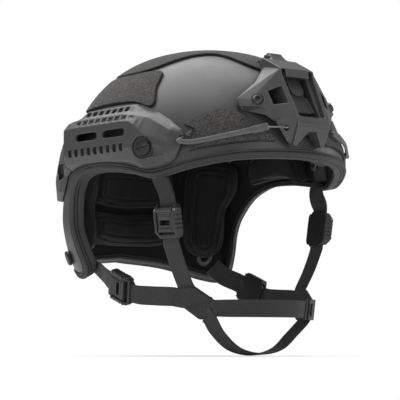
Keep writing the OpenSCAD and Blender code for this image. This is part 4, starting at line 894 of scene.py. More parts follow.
def even_line(points, step):
    """The same line with points at even distances."""
    p = np.asarray(points, float)
    run = np.concatenate([[0], np.cumsum(np.linalg.norm(np.diff(p, axis=0), axis=1))])
    n = max(3, int(round(run[-1] / step)) + 1)
    s = np.linspace(0, run[-1], n)
    return np.column_stack([np.interp(s, run, p[:, k]) for k in range(p.shape[1])]), s


def strap_section(width):
    """The band's section as across and out, with a slight crown and round edges."""
    h, r = width / 2, WEB_T / 2
    bends = np.radians([45, 90, 135])
    line = [(-h + r, r)] + [(x, r * (1 + 0.06 * math.cos(3 * x / h))) for x in np.linspace(-h + 2, h - 2, 5)]
    line += [(h - r, r)] + [(h - r + r * math.sin(a), r * math.cos(a)) for a in bends]
    line += [(x, -y) for x, y in line[6::-1]]
    return np.array(line + [(-h + r - r * math.sin(a), -r * math.cos(a)) for a in bends])


def strap(name, route, outs, width=WEB_W):
    both = np.hstack([np.asarray(route, float), unit(np.asarray(outs, float))])
    line, run = even_line(both, STRAP_STEP)
    path, out = line[:, :3], unit(line[:, 3:])
    along = unit(np.gradient(path, axis=0))
    across = unit(np.cross(along, out))
    face = unit(np.cross(across, along))
    section = strap_section(width)
    ripple = RIPPLE * np.sin(run / 7.3 + 0.7)
    lift = section[None, :, 1:] + ripple[:, None, None]
    points = path[:, None] + across[:, None] * section[None, :, :1] + face[:, None] * lift
    m, k = len(path), len(section)
    mesh = mesh_of(name, points.reshape(-1, 3), tube_faces(m, k) + end_faces(m, k))
    girth = np.concatenate([[0], np.cumsum(np.linalg.norm(np.diff(section, axis=0), axis=1))])
    weave = mesh.uv_layers.new(name="weave")
    for poly in mesh.polygons:
        ids = list(poly.vertices)
        wraps = len(ids) == 4 and max(i % k for i in ids) == k - 1
        for corner, i in zip(poly.loop_indices, ids):
            round_strap = girth[-1] + 0.7 if wraps and i % k == 0 else girth[i % k]
            weave.data[corner].uv = (run[i // k], round_strap)
    bm = bmesh.new()
    bm.from_mesh(mesh)
    bmesh.ops.recalc_face_normals(bm, faces=bm.faces)
    bm.to_mesh(mesh)
    bm.free()
    piece = show(name, mesh, webbing)
    mesh.shade_smooth()
    print(name, round(float(run[-1]), 1), "mm long")
    return piece


# %% [markdown]
# ### The harness
#
# On each side four straps hang from the shell's inner wall through two adjusters and meet under the ear,
# where two patches are sewn over them. The join is a slanted plane, and `join_point` gives its place for
# a y and a z.

# %% Places of the harness
STRAP_OFF = -WALL - 1.75
ADJ_L, HOLD = 34.0, 1.4
ADJ_FRONT = np.array([-90.4, -58.6, -57.4])
ADJ_FRONT_UP, ADJ_FRONT_OUT = unit([-0.14, -0.02, 1]), unit([-1, -0.08, -0.16])
ADJ_REAR = np.array([-79.0, 24, -113])
ADJ_REAR_UP, ADJ_REAR_OUT = unit([-0.03, 0.93, 0.36]), unit([-0.96, -0.06, -0.26])
JOIN_OUT = unit([-1, -0.2, -0.33])
PATCH = [[-47.6, -115.5], [-65.2, -114.5], [-83.6, -127], [-85, -141], [-63, -144], [-49, -133.5],
         [-35, -131]]
FLIP = np.array([-1, 1, 1])


def join_point(y, z):
    return np.array([-(64.5 + 0.2 * (y + 60) + 0.33 * (z + 128)), y, z])


def join_edge(a, b, away):
    return join_point((PATCH[a][0] + PATCH[b][0]) / 2, (PATCH[a][1] + PATCH[b][1]) / 2) + away


def under_patch(a, b, share=0.3):
    """A strap's end, a little way under the patch, so that it is seen to be sewn in."""
    middle = np.mean(PATCH, axis=0)
    y, z = (np.array(PATCH[a]) + PATCH[b]) / 2 * (1 - share) + middle * share
    return join_point(y, z) - JOIN_OUT * 0.4


def turn_over(a, b, n, gain=1.0):
    """Outward directions that change from one to another along a strap."""
    t = np.clip(np.linspace(0, 1, n) * gain, 0, 1)[:, None]
    return unit(np.asarray(a) * (1 - t) + np.asarray(b) * t)


print("straps meet at", join_point(-60, -128).round(1))

# %% Front straps
low, high = ADJ_FRONT + ADJ_FRONT_UP * HOLD, ADJ_FRONT + ADJ_FRONT_UP * (ADJ_L / 2 + 2)
route = smooth_line([on_side(-61.8, -11.2, STRAP_OFF - 2.4), on_side(-61.8, -15.5, STRAP_OFF - 7.5),
                     [-92.8, -54.4, -28], high, low], 8)
front_upper = strap("front_upper_strap_right", route, turn_over(ADJ_FRONT_OUT, ADJ_FRONT_OUT, len(route)))
route = smooth_line([ADJ_FRONT - ADJ_FRONT_UP * HOLD, ADJ_FRONT - ADJ_FRONT_UP * (ADJ_L / 2 - 2),
                     ADJ_FRONT - ADJ_FRONT_UP * (ADJ_L / 2 + 4), [-79.6, -57.4, -96],
                     join_edge(0, 1, [0, 0.3, 1]), under_patch(0, 1)], 8)
front_lower = strap("front_lower_strap_right", route, turn_over(ADJ_FRONT_OUT, JOIN_OUT, len(route)))

# %% Rear straps and the twins
exit_point = on_side(-135.5, -94.0, -WALL - 6) + [0, 0, -1]
above = ADJ_REAR + ADJ_REAR_UP * (ADJ_L / 2 + 4)
half_way = (exit_point + above) / 2 + [2.8, 0, -1.4]
route = smooth_line([exit_point, half_way, above, ADJ_REAR + ADJ_REAR_UP * HOLD], 8)
outs = turn_over([-0.8, 0.5, -0.3], ADJ_REAR_OUT, len(route), 1.4)
rear_upper = strap("rear_upper_strap_right", route, outs, WEB_W - 1)
route = smooth_line([ADJ_REAR - ADJ_REAR_UP * HOLD, ADJ_REAR - ADJ_REAR_UP * (ADJ_L / 2 + 3),
                     [-74, -14, -122], join_edge(0, 6, [-0.3, 1.2, 0]), under_patch(0, 6)], 8)
outs = turn_over(ADJ_REAR_OUT, JOIN_OUT, len(route))
rear_lower = strap("rear_lower_strap_right", route, outs, WEB_W - 1)
for made, name in ((front_upper, "front_upper"), (front_lower, "front_lower"), (rear_upper, "rear_upper"),
                   (rear_lower, "rear_lower")):
    dress_pair(made, "strap_" + name)

# %% Chin band
CHIN_Z = -134.0
PLUG_END = np.array([37.9, -94.9, CHIN_Z])
buckle_start = join_edge(2, 3, [0, -0.8, 0]) * FLIP
buckle_way = unit(PLUG_END - buckle_start)
route = smooth_line([under_patch(2, 3, 0.2), join_edge(2, 3, [0.2, -0.6, 0]), [-37, -95.4, CHIN_Z],
                     [-18, -102, CHIN_Z], [0, -104.6, CHIN_Z], [20, -102, CHIN_Z], PLUG_END - buckle_way], 10)
outs = unit([[p[0], p[1] + 40, -7] for p in route])
share = np.clip((np.arange(len(route)) - 8) / 10, 0, 1)[:, None]
chin = strap("chin_band", route, JOIN_OUT * (1 - share) + outs * share, WEB_W - 3.4)
dress(chin, ["chin_strap"])

# %% Band under the chin
start = join_edge(3, 4, [0.5, 0, -1.2])
side, low = np.array([-46.5, -73.4, -156.5]), np.array([-27, -72.4, -169.6])
route = smooth_line([under_patch(3, 4, 0.25), start, side, low, [0, -72, -174.6], low * FLIP - [2.4, 0, 0],
                     side * FLIP - [4.4, 0, 0], start * FLIP, under_patch(3, 4, 0.25) * FLIP], 10)
under_chin = strap("under_chin_band", route, [[p[0], -3, p[2] + 118] for p in route])
dress(under_chin, ["under_chin_strap"])

# %% [markdown]
# ### Sewn patches
#
# Where straps meet, two flat pieces of webbing are sewn over them. Each is a plate in the plane of the
# join with rolled edges: rings that follow its outline, first under it, then round its edge, then over
# it. The rim is painted darker, as painted shadow where the plate steps onto the strap.

# %% Sewn patches where the straps meet
CORNER = 2.6


def plate(name, corners, low, high, along):
    corners = np.asarray(corners, float)
    line = []
    for a, b, c in zip(np.roll(corners, 1, 0), corners, np.roll(corners, -1, 0)):
        p, q = b + unit(a - b) * CORNER, b + unit(c - b) * CORNER
        line += [(1 - t) ** 2 * p + 2 * t * (1 - t) * b + t * t * q for t in (0, 0.33, 0.67, 1)]
        line += [q + (c + unit(b - c) * CORNER - q) * t for t in (0.2, 0.4, 0.6, 0.8)]
    line = np.array(line)
    middle = line.mean(0)
    reach = np.linalg.norm(line - middle, axis=1, keepdims=True)
    points, spots = [], []
    for inset, lift in ((1.6, low), (0.5, low), (0.12, low + 0.15), (0, low + 0.45), (0, high - 0.45),
                        (0.12, high - 0.15), (0.5, high), (1.6, high)):
        ring = middle + (line - middle) * (1 - inset / reach)
        spots.append(ring)
        points += [join_point(y, z) + JOIN_OUT * lift for y, z in ring]
    rows, n = len(spots), len(line)
    points += [join_point(*middle) + JOIN_OUT * low, join_point(*middle) + JOIN_OUT * high]
    spots = np.vstack(spots + [middle[None], middle[None]])
    faces = tube_faces(rows, n) + fan(rows * n, 0, n, 1) + fan(rows * n + 1, (rows - 1) * n, n)
    mesh = mesh_of(name, points, faces)
    # Painted shadow round each patch's rolled rim, where it steps onto the strap below.
    mark(mesh, "edge", np.append(np.repeat([0, 0.9, 1, 1, 1, 1, 0.9, 0], n), [0, 0]))
    way = unit(along)
    weave = mesh.uv_layers.new(name="weave")
    for corner in mesh.loops:
        q = spots[corner.vertex_index]
        weave.data[corner.index].uv = (float(q @ way), float(q @ [-way[1], way[0]]))
    return wrap_mesh(name, mesh, webbing)


upper = plate("patch_upper_right", [PATCH[k] for k in (0, 1, 2, 5, 6)], -1.4, 1.4, [-1, 0.12])
lower = plate("patch_lower_right", [[-46.5, -130.4], [-81.6, -123.6]] + PATCH[3:6], -1.2, 0.9, [-0.5, -1])
for made in (upper, lower):
    dress_pair(made, "junction_patch")
    print(made.name, len(made.data.polygons), "faces")


# %% [markdown]
# ## Elastic lanyards and their hooks
#
# A moulded rubber strap runs from each rail's nose to the shroud and ends in a wire hook. Its root is a
# pointed tip, and fine ribs cross its last 15 mm, where fingers grip it. A curve with a bevel would keep
# one section all the way. A sweep carries a rounded section that has its own width and thickness at every
# station, so it can taper and rib.

# %% Rubber and steel
f = Finish("elastic_rubber", 0.6)
# Lighter edges on the rubber: partly wear, partly a painted highlight.
f.colour(f.wear_and_highlight(f.blend(f.noise(60, 3), grey(0.06), grey(0.08)), grey(0.18)))
f.relief(f.noise(1300, 2), 0.0001, 0.5)
elastic_rubber = f.material


def worn_and_highlit_steel(name, metallic, dark, light, bright, bright_edge_from, bright_edge_to, low_rough, high_rough):
    """Blackened steel with lighter edges: partly bare metal where the black has gone, partly a painted
    highlight.
    """
    f = Finish(name, low_rough, metallic)
    base = f.blend(f.span(f.noise(120, 3), 0.35, 0.65), grey(dark), grey(light))
    f.colour(f.wear_and_highlight(base, grey(bright), bright_edge_from, bright_edge_to))
    f.rough(f.span(f.noise(500, 3), 0.3, 0.7, low_rough, high_rough))
    f.relief(f.noise(900, 2), 0.00004, 0.4)
    return f.material


# Both steels get lighter edges: partly bare metal, partly a painted highlight on the rims.
black_steel = worn_and_highlit_steel("black_steel", 0.6, 0.04, 0.06, 0.35, 0.51, 0.56, 0.3, 0.45)
screw_black = worn_and_highlit_steel("screw_black", 0.5, 0.03, 0.045, 0.2, 0.52, 0.58, 0.36, 0.5)
print("made", elastic_rubber.name, black_steel.name, screw_black.name)


# %% Sweeps
def sweep(name, centres, outs, widths, thicks, finish, sides=12):
    """A rounded flat section carried along points, with round ends."""
    path = np.asarray(centres, float)
    along = unit(np.gradient(path, axis=0))
    across = unit(np.cross(along, unit(outs)))
    face = np.cross(across, along)
    a = np.linspace(0, 2 * math.pi, sides, endpoint=False)
    wide, high = (np.sign(v) * np.abs(v) ** 0.5 for v in (np.cos(a), np.sin(a)))
    rings = path[:, None] + across[:, None] * (wide[None, :, None] * np.asarray(widths)[:, None, None] / 2)
    rings = rings + face[:, None] * (high[None, :, None] * np.asarray(thicks)[:, None, None] / 2)
    ends = []
    for k, sign in ((0, -1), (-1, 1)):
        ends.append([path[k] + along[k] * sign * thicks[k] * g + (rings[k] - path[k]) * h
                     for g, h in ((0.25, 0.85), (0.4, 0.5))])
    rings = np.vstack([ends[0][::-1], rings, ends[1]])
    n = len(rings)
    mesh = mesh_of(name, rings.reshape(-1, 3), tube_faces(n, sides) + end_faces(n, sides))
    return wrap_mesh(name, mesh, finish)


def wire(name, points, thick, finish):
    line = smooth_line(points, 8)
    way = unit(np.gradient(line, axis=0))
    side = unit(np.cross(way, [0.3, 0.2, 1]))
    girth = np.full(len(line), thick * 0.84)
    return sweep(name, line, side, girth, girth, finish, 10)


# %% Lanyards
ROOT_TURN, ROOT_Z, ROOT_W, ROOT_T = -51.8, 7.4, 1.6, 1.2
STATIONS = [[-50.2, 7.4, 9, 3.4, 2.0], [-48.2, 7.3, 6.6, 4.4, 2.4], [-45.5, 7.5, 5.2, 4.4, 2.8],
            [-40.1, 9.3, 5.0, 4.4, 3.0], [-31, 13.3, 5.8, 4.6, 3.0], [-24, 16.6, 6.6, 5.2, 3.0],
            [-21.4, 17.8, 6.8, 6.8, 3.2], [-16.8, 20.4, 7.0, 6.6, 3.2]]
RIB_FROM, RIB_TO, RIB_PITCH, RIB_HIGH = 17, 2, 2.0, 0.3
root_out = normal_at(ROOT_TURN, ROOT_Z)
root = probe(rail, on_side(ROOT_TURN, ROOT_Z, 45), -root_out) + root_out * 0.5
rows = [np.hstack([root, root_out, ROOT_W, ROOT_T])]
rows += [np.hstack([on_side(turn, z, off), normal_at(turn, z), w, t]) for turn, z, off, w, t in STATIONS]
band, run = even_line(smooth_line(rows, 8), 0.5)
ribbed = (run > run[-1] - RIB_FROM) & (run < run[-1] - RIB_TO)
ribs = np.where(ribbed, RIB_HIGH * np.sin(run * 2 * math.pi / RIB_PITCH), 0)
lanyard = sweep("lanyard_band_right", band[:, :3], band[:, 3:6], band[:, 6] + ribs, band[:, 7] + ribs * 0.6,
                elastic_rubber)
print("lanyard is", round(float(run[-1]), 1), "mm long")

# %% Wire hooks
HOOK_HOLE, HOOK_OUT, HOOK_WIRE = np.array([-25.4, -140.6, 22.4]), unit([-0.45, -0.89, 0]), 1.5
hook_start, hook_bend = on_side(-17.8, 20, 7.0), HOOK_HOLE + HOOK_OUT * 3.4
between = [hook_start * a + hook_bend * b + HOOK_OUT * lift
           for a, b, lift in ((0.66, 0.34, 0.8), (0.33, 0.67, 1.2))]
hook_line = [hook_start] + between + [hook_bend, HOOK_HOLE + HOOK_OUT, HOOK_HOLE - HOOK_OUT * 3.6]
hook = wire("lanyard_wire_right", hook_line, HOOK_WIRE, black_steel)
dress_pair(lanyard, "lanyard")
dress_pair(hook, "lanyard_hook")
print(hook.name, len(hook.data.polygons), "faces")

# %% [markdown]
# ## Foam pads
#
# Knitted covers over foam swell like small cushions. A plain offset of the outline would look like cut
# rubber, so each pad starts as a low closed form in its own space between the shell and the head, a
# little smaller than the space. A cloth simulation blows it up softly, and no point may move further than
# a cap. The sewn channels near the border are pressed in after that, because the voxel skin would lose
# them. An attribute named chart keeps the distance round, the height and the flatness, and the knit's
# ribs read it.

# %% Knit
f = Finish("pad_knit", 0.94, Sheen_Weight=0.1, Sheen_Roughness=0.45)
RIB_MM = 2.3
turn_mm, _, flat = f.split(f.attribute("chart", "Vector"))
rib = f.math("ABSOLUTE", f.math("SINE", f.math("MULTIPLY", turn_mm, math.pi / RIB_MM)))
tone = f.math("ADD", f.math("MULTIPLY", rib, 0.7), f.math("MULTIPLY", f.noise(45, 4), 0.6))
f.colour(f.blend(f.span(tone, 0.2, 1.2), grey(0.005), grey(0.011, 0.02)))
f.relief(f.math("ADD", f.math("MULTIPLY", rib, flat), f.math("MULTIPLY", f.cells(950), 0.35)), 0.0004, 0.7)
pad_knit = f.material
print("made", pad_knit.name)

# %% Pad form
PAD_BASE, PAD_PER_DEGREE = -WALL - 2.6, 2.0
PAD_SHY, PAD_GAP, PAD_LOW, PAD_VOXEL = 1.2, 0.3, 1.6, 4.0
PAD_ROWS = ((18, 1), (9, 0.99), (5, 0.95), (2.4, 0.84), (0.6, 0.62), (0, 0.4), (0.4, 0.12), (2, 0.02),
            (9, 0.02), (18, 0.02))


def pad_form(name, line, mid, thick, on_crown):
    """A low closed form over an outline, with a coarse even skin that can swell."""
    lay = on_top if on_crown else on_side
    reach = np.linalg.norm((line - mid) * ([1, 1] if on_crown else [PAD_PER_DEGREE, 1]), axis=1)
    points = []
    for back, high in PAD_ROWS:
        q = mid + (line - mid) * np.clip(1 - (back + PAD_SHY) / reach, 0.05, 1)[:, None]
        points.append(lay(q[:, 0], q[:, 1], PAD_BASE - PAD_GAP - (thick - PAD_LOW) * high))
    points += [[lay(*mid, PAD_BASE - PAD_GAP - (thick - PAD_LOW) * high)] for high in (1, 0.02)]
    rows, n = len(PAD_ROWS), len(line)
    faces = tube_faces(rows, n) + fan(rows * n, 0, n, 1) + fan(rows * n + 1, (rows - 1) * n, n)
    piece = wrap_mesh(name, mesh_of(name, np.vstack(points), faces), pad_knit)
    skin = piece.modifiers.new("skin", "REMESH")
    skin.mode = "VOXEL"
    skin.voxel_size = PAD_VOXEL * MM
    return settle(piece)


# %% Swelling
SWELL_FRAMES, SWELL_CAP, SWELL_FORCE = 20, 2.2, 4


def swell(piece):
    """Blows the skin up as cloth."""
    rest = np.array([v.co for v in piece.data.vertices])
    cloth = piece.modifiers.new("swell", "CLOTH")
    cloth.settings.use_pressure = True
    cloth.settings.uniform_pressure_force = SWELL_FORCE
    cloth.settings.effector_weights.gravity = 0
    cloth.point_cache.frame_end = SWELL_FRAMES
    for now in range(1, SWELL_FRAMES + 1):
        bpy.context.scene.frame_set(now)
    settle(piece)
    moved = np.array([v.co for v in piece.data.vertices]) - rest
    moved -= moved.mean(0)
    far = np.linalg.norm(moved, axis=1, keepdims=True)
    rest = rest + moved * np.minimum(1, SWELL_CAP * MM / np.maximum(far, 1e-9))
    bpy.context.scene.frame_set(1)
    piece.data.vertices.foreach_set("co", rest.ravel())
    calm = piece.modifiers.new("calm", "SMOOTH")
    calm.factor = 0.5
    calm.iterations = 2
    finer = piece.modifiers.new("finer", "SUBSURF")
    finer.levels = finer.render_levels = 2
    return settle(piece)


# %% [markdown]
# To press the channels in, the code has to know for each point how deep it lies under the dome, and how
# far it is from the pad's border. Both are worked out on the chart of turn and height, where the outline
# was drawn.


# %% Depth and distance
def dome_depth(points, on_crown):
    """How far each point lies from the dome's face, the way out there, and its turn."""
    x, y, z = points.T
    turn = np.degrees(np.arctan2(x, -y))
    if on_crown:
        surface = on_top(x, y)
        a, b = on_top(x + 0.5, y) - surface, on_top(x, y + 0.5) - surface
        out = unit(np.cross(a, b))
    else:
        surface = on_side(turn, z)
        out = normal_at(turn, z)
    return np.sum((points - surface) * out, 1), out, turn


def to_outline(spots, line):
    """The distance of chart spots from a closed outline, positive inside."""
    best, inside = np.full(len(spots), 1e9), np.zeros(len(spots), bool)
    for p, q in zip(line, np.roll(line, -1, 0)):
        t = np.clip(((spots - p) @ (q - p)) / max((q - p) @ (q - p), 1e-9), 0, 1)
        best = np.minimum(best, np.linalg.norm(spots - p - t[:, None] * (q - p), axis=1))
        crosses = (p[1] > spots[:, 1]) != (q[1] > spots[:, 1])
        x = (q[0] - p[0]) * (spots[:, 1] - p[1]) / np.where(q[1] == p[1], 1e-9, q[1] - p[1]) + p[0]
        inside ^= crosses & (spots[:, 0] < x)
    return np.where(inside, best, -best)


def ease(x, low, high):
    """From 0 to 1 between two values, with a soft start and end."""
    t = np.clip((x - low) / (high - low), 0, 1)
    return t * t * (3 - 2 * t)


# %% Channels
def press(piece, line, mid, thick, channels, on_crown):
    """Keeps the pad in its space, presses its channels in and marks its chart."""
    spots = np.array([v.co for v in piece.data.vertices]) / MM
    depth, out, turn = dome_depth(spots, on_crown)
    fixed = np.clip(depth, PAD_BASE - thick, PAD_BASE - 0.05)
    if on_crown:
        chart, border, height = spots[:, :2], line, spots[:, 1]
    else:
        turn = np.where(turn - mid[0] > 180, turn - 360, np.where(turn - mid[0] < -180, turn + 360, turn))
        level = LEVEL + (spots[:, 2] - LEVEL) * RISE / (RISE + fixed)
        chart = np.column_stack([turn * PAD_PER_DEGREE, level])
        border, height = line * [PAD_PER_DEGREE, 1], spots[:, 2]
    inset = to_outline(chart, border)
    front = ease(PAD_BASE - fixed, thick * 0.45, thick * 0.75)
    pressed = np.zeros(len(spots))
    for place, deep, width in channels:
        pressed += deep * np.exp(-((inset - place) / width) ** 2)
    spots = spots + out * (fixed - depth + pressed * front)[:, None]
    piece.data.vertices.foreach_set("co", (spots * MM).ravel())
    flat = ease(inset, channels[-1][0] + 1.0, channels[-1][0] + 3.0) * front
    mark(piece.data, "chart", np.column_stack([chart[:, 0], height, flat]))
    piece.data.shade_smooth()


def pad(name, outline, middle, thick, channels, on_crown=False):
    line, mid = smooth_loop(outline, 4), np.asarray(middle, float)
    made = swell(pad_form(name, line, mid, thick, on_crown))
    press(made, line, mid, thick, channels, on_crown)
    print(name, len(made.data.polygons), "faces")
    return made


# %% Outlines of the pads
BORDER = [(6.4, 1.9, 1.0), (12.4, 1.7, 1.0)]
SINGLE = [(5.0, 1.8, 1.0)]
SIDE_PAD = [[-72.4, -8], [-72, 4], [-74, 24], [-82, 34], [-100, 34], [-113, 24], [-116, 6], [-114, -5],
            [-104, -2.5], [-90, -2], [-79, -4]]
CORNER_PAD = [[-130, 24], [-141, 26], [-148.5, 18], [-150.5, -12], [-151, -46], [-149.5, -76], [-143, -87],
              [-136, -86], [-131, -76], [-129, -54], [-127.6, -32], [-123, -14], [-121.5, 8], [-124, 20]]
UPPER_PAD = [[-154.5, 6], [-155, -12], [-156, -25], [-168, -30], [-180, -31.5], [-192, -30], [-204, -25],
             [-205, -12], [-205.5, 6], [-200, 16], [-180, 19], [-160, 16]]
LOWER_PAD = [[-154, -38], [-154.5, -54], [-156, -68], [-166, -74], [-180, -75], [-194, -74], [-204, -68],
             [-205.5, -54], [-206, -38], [-193, -34.5], [-180, -35.5], [-167, -34.5]]
BROW_PAD = [[42, 4], [47, 16], [43, 30], [26, 36], [0, 38], [-26, 36], [-43, 30], [-47, 16], [-42, 4],
            [-24, 6.5], [0, 8], [24, 6.5]]
CROWN_PAD = [[46 * math.cos(a), 4 + 52 * math.sin(a)]
             for a in np.linspace(0, 2 * math.pi, 20, endpoint=False)]
PAIRED_PADS = (("side_pad", SIDE_PAD, [-92, 15], 17, SINGLE),
               ("rear_side_pad", CORNER_PAD, [-138, -30], 18, BORDER))
SINGLE_PADS = (("rear_pad_upper", UPPER_PAD, [-180, -7], 18, BORDER, False),
               ("rear_pad_lower", LOWER_PAD, [-180, -54], 18, BORDER, False),
               ("brow_pad", BROW_PAD, [0, 21], 16, SINGLE, False),
               ("crown_pad", CROWN_PAD, [0, 4], 15, SINGLE, True))
print(2 * len(PAIRED_PADS) + len(SINGLE_PADS), "pads to make")

# %% Pads
for name, outline, middle, thick, channels in PAIRED_PADS:
    right = pad(name + "_cushion_right", outline, middle, thick, channels)
    left = dress_pair(right, name)
for name, outline, middle, thick, channels, on_crown in SINGLE_PADS:
    made = pad(name + "_cushion", outline, middle, thick, channels, on_crown)
    dress(made, [name])

# %% [markdown]
# ## Adjusters, levers and the buckle
#
# The harness is set with four adjusters: a ribbed frame that the webbing runs through, and a cam lever
# that clamps it. They are mouldings too, so they are made as the rails were. Each cam lever and the
# buckle's button could be joined to its frame for the picture, but each stays a piece of its own on its
# moving body, so that it can turn or slide there.

# %% Adjusters and levers
SHOULDER = ((7.6, 6.6), (2.0, 15.8), (9, 15.8), (9, 6.6))
FLANK = ((14.4, 8.5), (10.9, 15.6), (15.5, 15.6), (15.5, 8.5))
HEEL = ((10.8, 12.8), (6.6, 17.4), (11.5, 17.4))
CLIP_RIBS, CLIP_PITCH, CLIP_RIB_X, CLIP_RIB_R = 7, 3.6, 12.9, 1.15
for end, place, up, out in (("front", ADJ_FRONT, ADJ_FRONT_UP, ADJ_FRONT_OUT),
                            ("rear", ADJ_REAR, ADJ_REAR_UP, ADJ_REAR_OUT)):
    spot = Stand(place, up, out)
    cuts, ribs = [], []
    for sx in (-1, 1):
        for sz in (-1, 1):
            cuts.append([spot.at(x * sx, y, z * sz) for x in (9.6, 15) for y, z in SHOULDER])
            cuts.append([spot.at(x * sx, y, z * sz) for y in (-5, 9) for x, z in FLANK])
            cuts.append([spot.at(x * sx, y, z * sz) for y in (-5, -0.9) for x, z in HEEL])
        for k in range(CLIP_RIBS):
            z, high = -10.8 + CLIP_PITCH * k, 5.6 - 0.09 * (k - 3) ** 2 * 2.2
            turned = [(CLIP_RIB_X + CLIP_RIB_R * math.cos(a), z + CLIP_RIB_R * math.sin(a))
                      for a in np.radians(range(0, 360, 45))]
            ribs.append([spot.at(sx * x, y, up_z) for y in (-2.2, high) for x, up_z in turned])
    clip = merged_copy("adjuster_%s_body_right" % end, black_plastic, "adjuster_%s_right" % end)
    weld(carve(clip, cuts), ribs)
    dress_pair(soften(clip, 0.3, 3, 0.4), "adjuster_" + end)
    lever = merged_copy("lever_%s_cam_right" % end, lever_plastic, "lever_%s_right" % end)
    crown = [spot.at(x, y, z) for x, y in ((-10, 4.8), (10, 4.8), (-7, 6.2), (7, 6.2)) for z in (-9.2, 8.4)]
    ridges = [spot.box((-8, 5.6, z - 0.5), (8, 6.9, z + 0.5)) for z in (3.4, 5.4, 7.4)]
    soften(weld(lever, [crown] + ridges), 0.3, 0, 1.0)
    carve(lever, [spot.box((-6.2, 0, -3.4), (6.2, 9, 1.0)), spot.box((-12, 5.3, -6.4), (12, 9, -5.2))])
    dress_pair(soften(lever, 0.3, 3, 0.4), "lever_" + end, moving=True)

# %% Buckle
for node, body in (("buckle_socket", "helmet"), ("buckle_plug", "helmet"),
                   ("buckle_button", "buckle_button_body")):
    made = soften(merged_copy(node + "_moulding", black_plastic, node), 0.3, 3, 0.4)
    dress(made, [node], body)

# %% [markdown]
# ## Repeated items
#
# Screws and stitches come many times. Each could be copied by hand as an object, but one node tree
# repeats any item along a carrier mesh and leaves a single piece. Each vertex of the carrier holds the
# direction that the item faces, the direction of its own x axis, and its size. The tree turns the item
# twice, places it, makes it real and gives it its finish.


# %% Repeating tree
def repeat_tree():
    tree = bpy.data.node_groups.new("repeat_item", "GeometryNodeTree")
    face = tree.interface
    face.new_socket("Geometry", in_out="INPUT", socket_type="NodeSocketGeometry")
    keys = {}
    for label, kind in (("Item", "NodeSocketObject"), ("Finish", "NodeSocketMaterial"),
                        ("Scale", "NodeSocketFloat"), ("Jitter", "NodeSocketFloat"),
                        ("Seed", "NodeSocketInt")):
        keys[label] = face.new_socket(label, in_out="INPUT", socket_type=kind).identifier
    face.new_socket("Geometry", in_out="OUTPUT", socket_type="NodeSocketGeometry")
    add, join = tree.nodes.new, tree.links.new
    source, result = add("NodeGroupInput"), add("NodeGroupOutput")

    def named(name, kind):
        node = add("GeometryNodeInputNamedAttribute")
        node.data_type = kind
        node.inputs["Name"].default_value = name
        return node.outputs["Attribute"]

    def times(a, b):
        node = add("ShaderNodeMath")
        node.operation = "MULTIPLY"
        join(a, node.inputs[0])
        if isinstance(b, float):
            node.inputs[1].default_value = b
        else:
            join(b, node.inputs[1])
        return node.outputs[0]

    item = add("GeometryNodeObjectInfo")
    join(source.outputs["Item"], item.inputs["Object"])
    first, second = add("FunctionNodeAlignRotationToVector"), add("FunctionNodeAlignRotationToVector")
    first.axis, second.axis, second.pivot_axis = "Z", "X", "Z"
    join(named("aim", "FLOAT_VECTOR"), first.inputs["Vector"])
    join(first.outputs[0], second.inputs["Rotation"])
    join(named("along", "FLOAT_VECTOR"), second.inputs["Vector"])
    chance = add("FunctionNodeRandomValue")
    chance.data_type = "FLOAT"
    join(times(source.outputs["Jitter"], -1.0), chance.inputs[2])
    join(source.outputs["Jitter"], chance.inputs[3])
    join(source.outputs["Seed"], chance.inputs["Seed"])
    spin = add("FunctionNodeAxisAngleToRotation")
    join(chance.outputs[1], spin.inputs["Angle"])
    turn = add("FunctionNodeRotateRotation")
    turn.rotation_space = "LOCAL"
    join(second.outputs[0], turn.inputs[0])
    join(spin.outputs[0], turn.inputs[1])
    places = add("GeometryNodeInstanceOnPoints")
    join(source.outputs["Geometry"], places.inputs["Points"])
    join(item.outputs["Geometry"], places.inputs["Instance"])
    join(turn.outputs[0], places.inputs["Rotation"])
    join(times(named("size", "FLOAT"), source.outputs["Scale"]), places.inputs["Scale"])
    real, paint = add("GeometryNodeRealizeInstances"), add("GeometryNodeSetMaterial")
    join(places.outputs[0], real.inputs[0])
    join(real.outputs[0], paint.inputs["Geometry"])
    join(source.outputs["Finish"], paint.inputs["Material"])
    join(paint.outputs[0], result.inputs[0])
    return tree, keys


REPEAT, KEYS = repeat_tree()
print("repeating tree has", len(REPEAT.nodes), "nodes")


# %% Repeating an item
def repeat(name, item, finish, spots, jitter=0.0, seed=1, scale=1.0):
    """spots holds the place, aim, along and size of each item, in millimetres."""
    mesh = mesh_of(name, [q[0] for q in spots], [])
    for k, key in enumerate(("aim", "along", "size"), 1):
        mark(mesh, key, [q[k] for q in spots])
    piece = show(name, mesh, finish)
    nodes = piece.modifiers.new("repeat", "NODES")
    nodes.node_group = REPEAT
    for label, value in (("Item", item), ("Finish", finish), ("Scale", scale), ("Jitter", jitter),
                         ("Seed", seed)):
        nodes[KEYS[label]] = value
    settle(piece)
    bpy.data.objects.remove(item)
    print(name, len(spots), "items,", len(piece.data.polygons), "faces")
    return piece


# %% [markdown]
# ### Screws
#
# One big slotted screw holds each rail at its front, and four more hold the rear arms and the nape. Two
# button heads with a hex socket hold the shroud. A head is a turned form, so it is a profile carried
# round its axis, with the slot or the socket cut out and the edges softened. A bevelled cylinder would be
# quicker, but its dome would be flat.


# %% Screw heads
def lathe(name, profile, sides=40):
    """A closed turned form round z, from radius and height pairs."""
    a = np.linspace(0, 2 * math.pi, sides, endpoint=False)
    points = [[r * np.cos(a), r * np.sin(a), np.full(sides, z)] for r, z in profile]
    points = np.array(points).transpose(0, 2, 1).reshape(-1, 3)
    faces = tube_faces(len(profile), sides) + end_faces(len(profile), sides)
    return wrap_mesh(name, mesh_of(name, points, faces), black_steel)


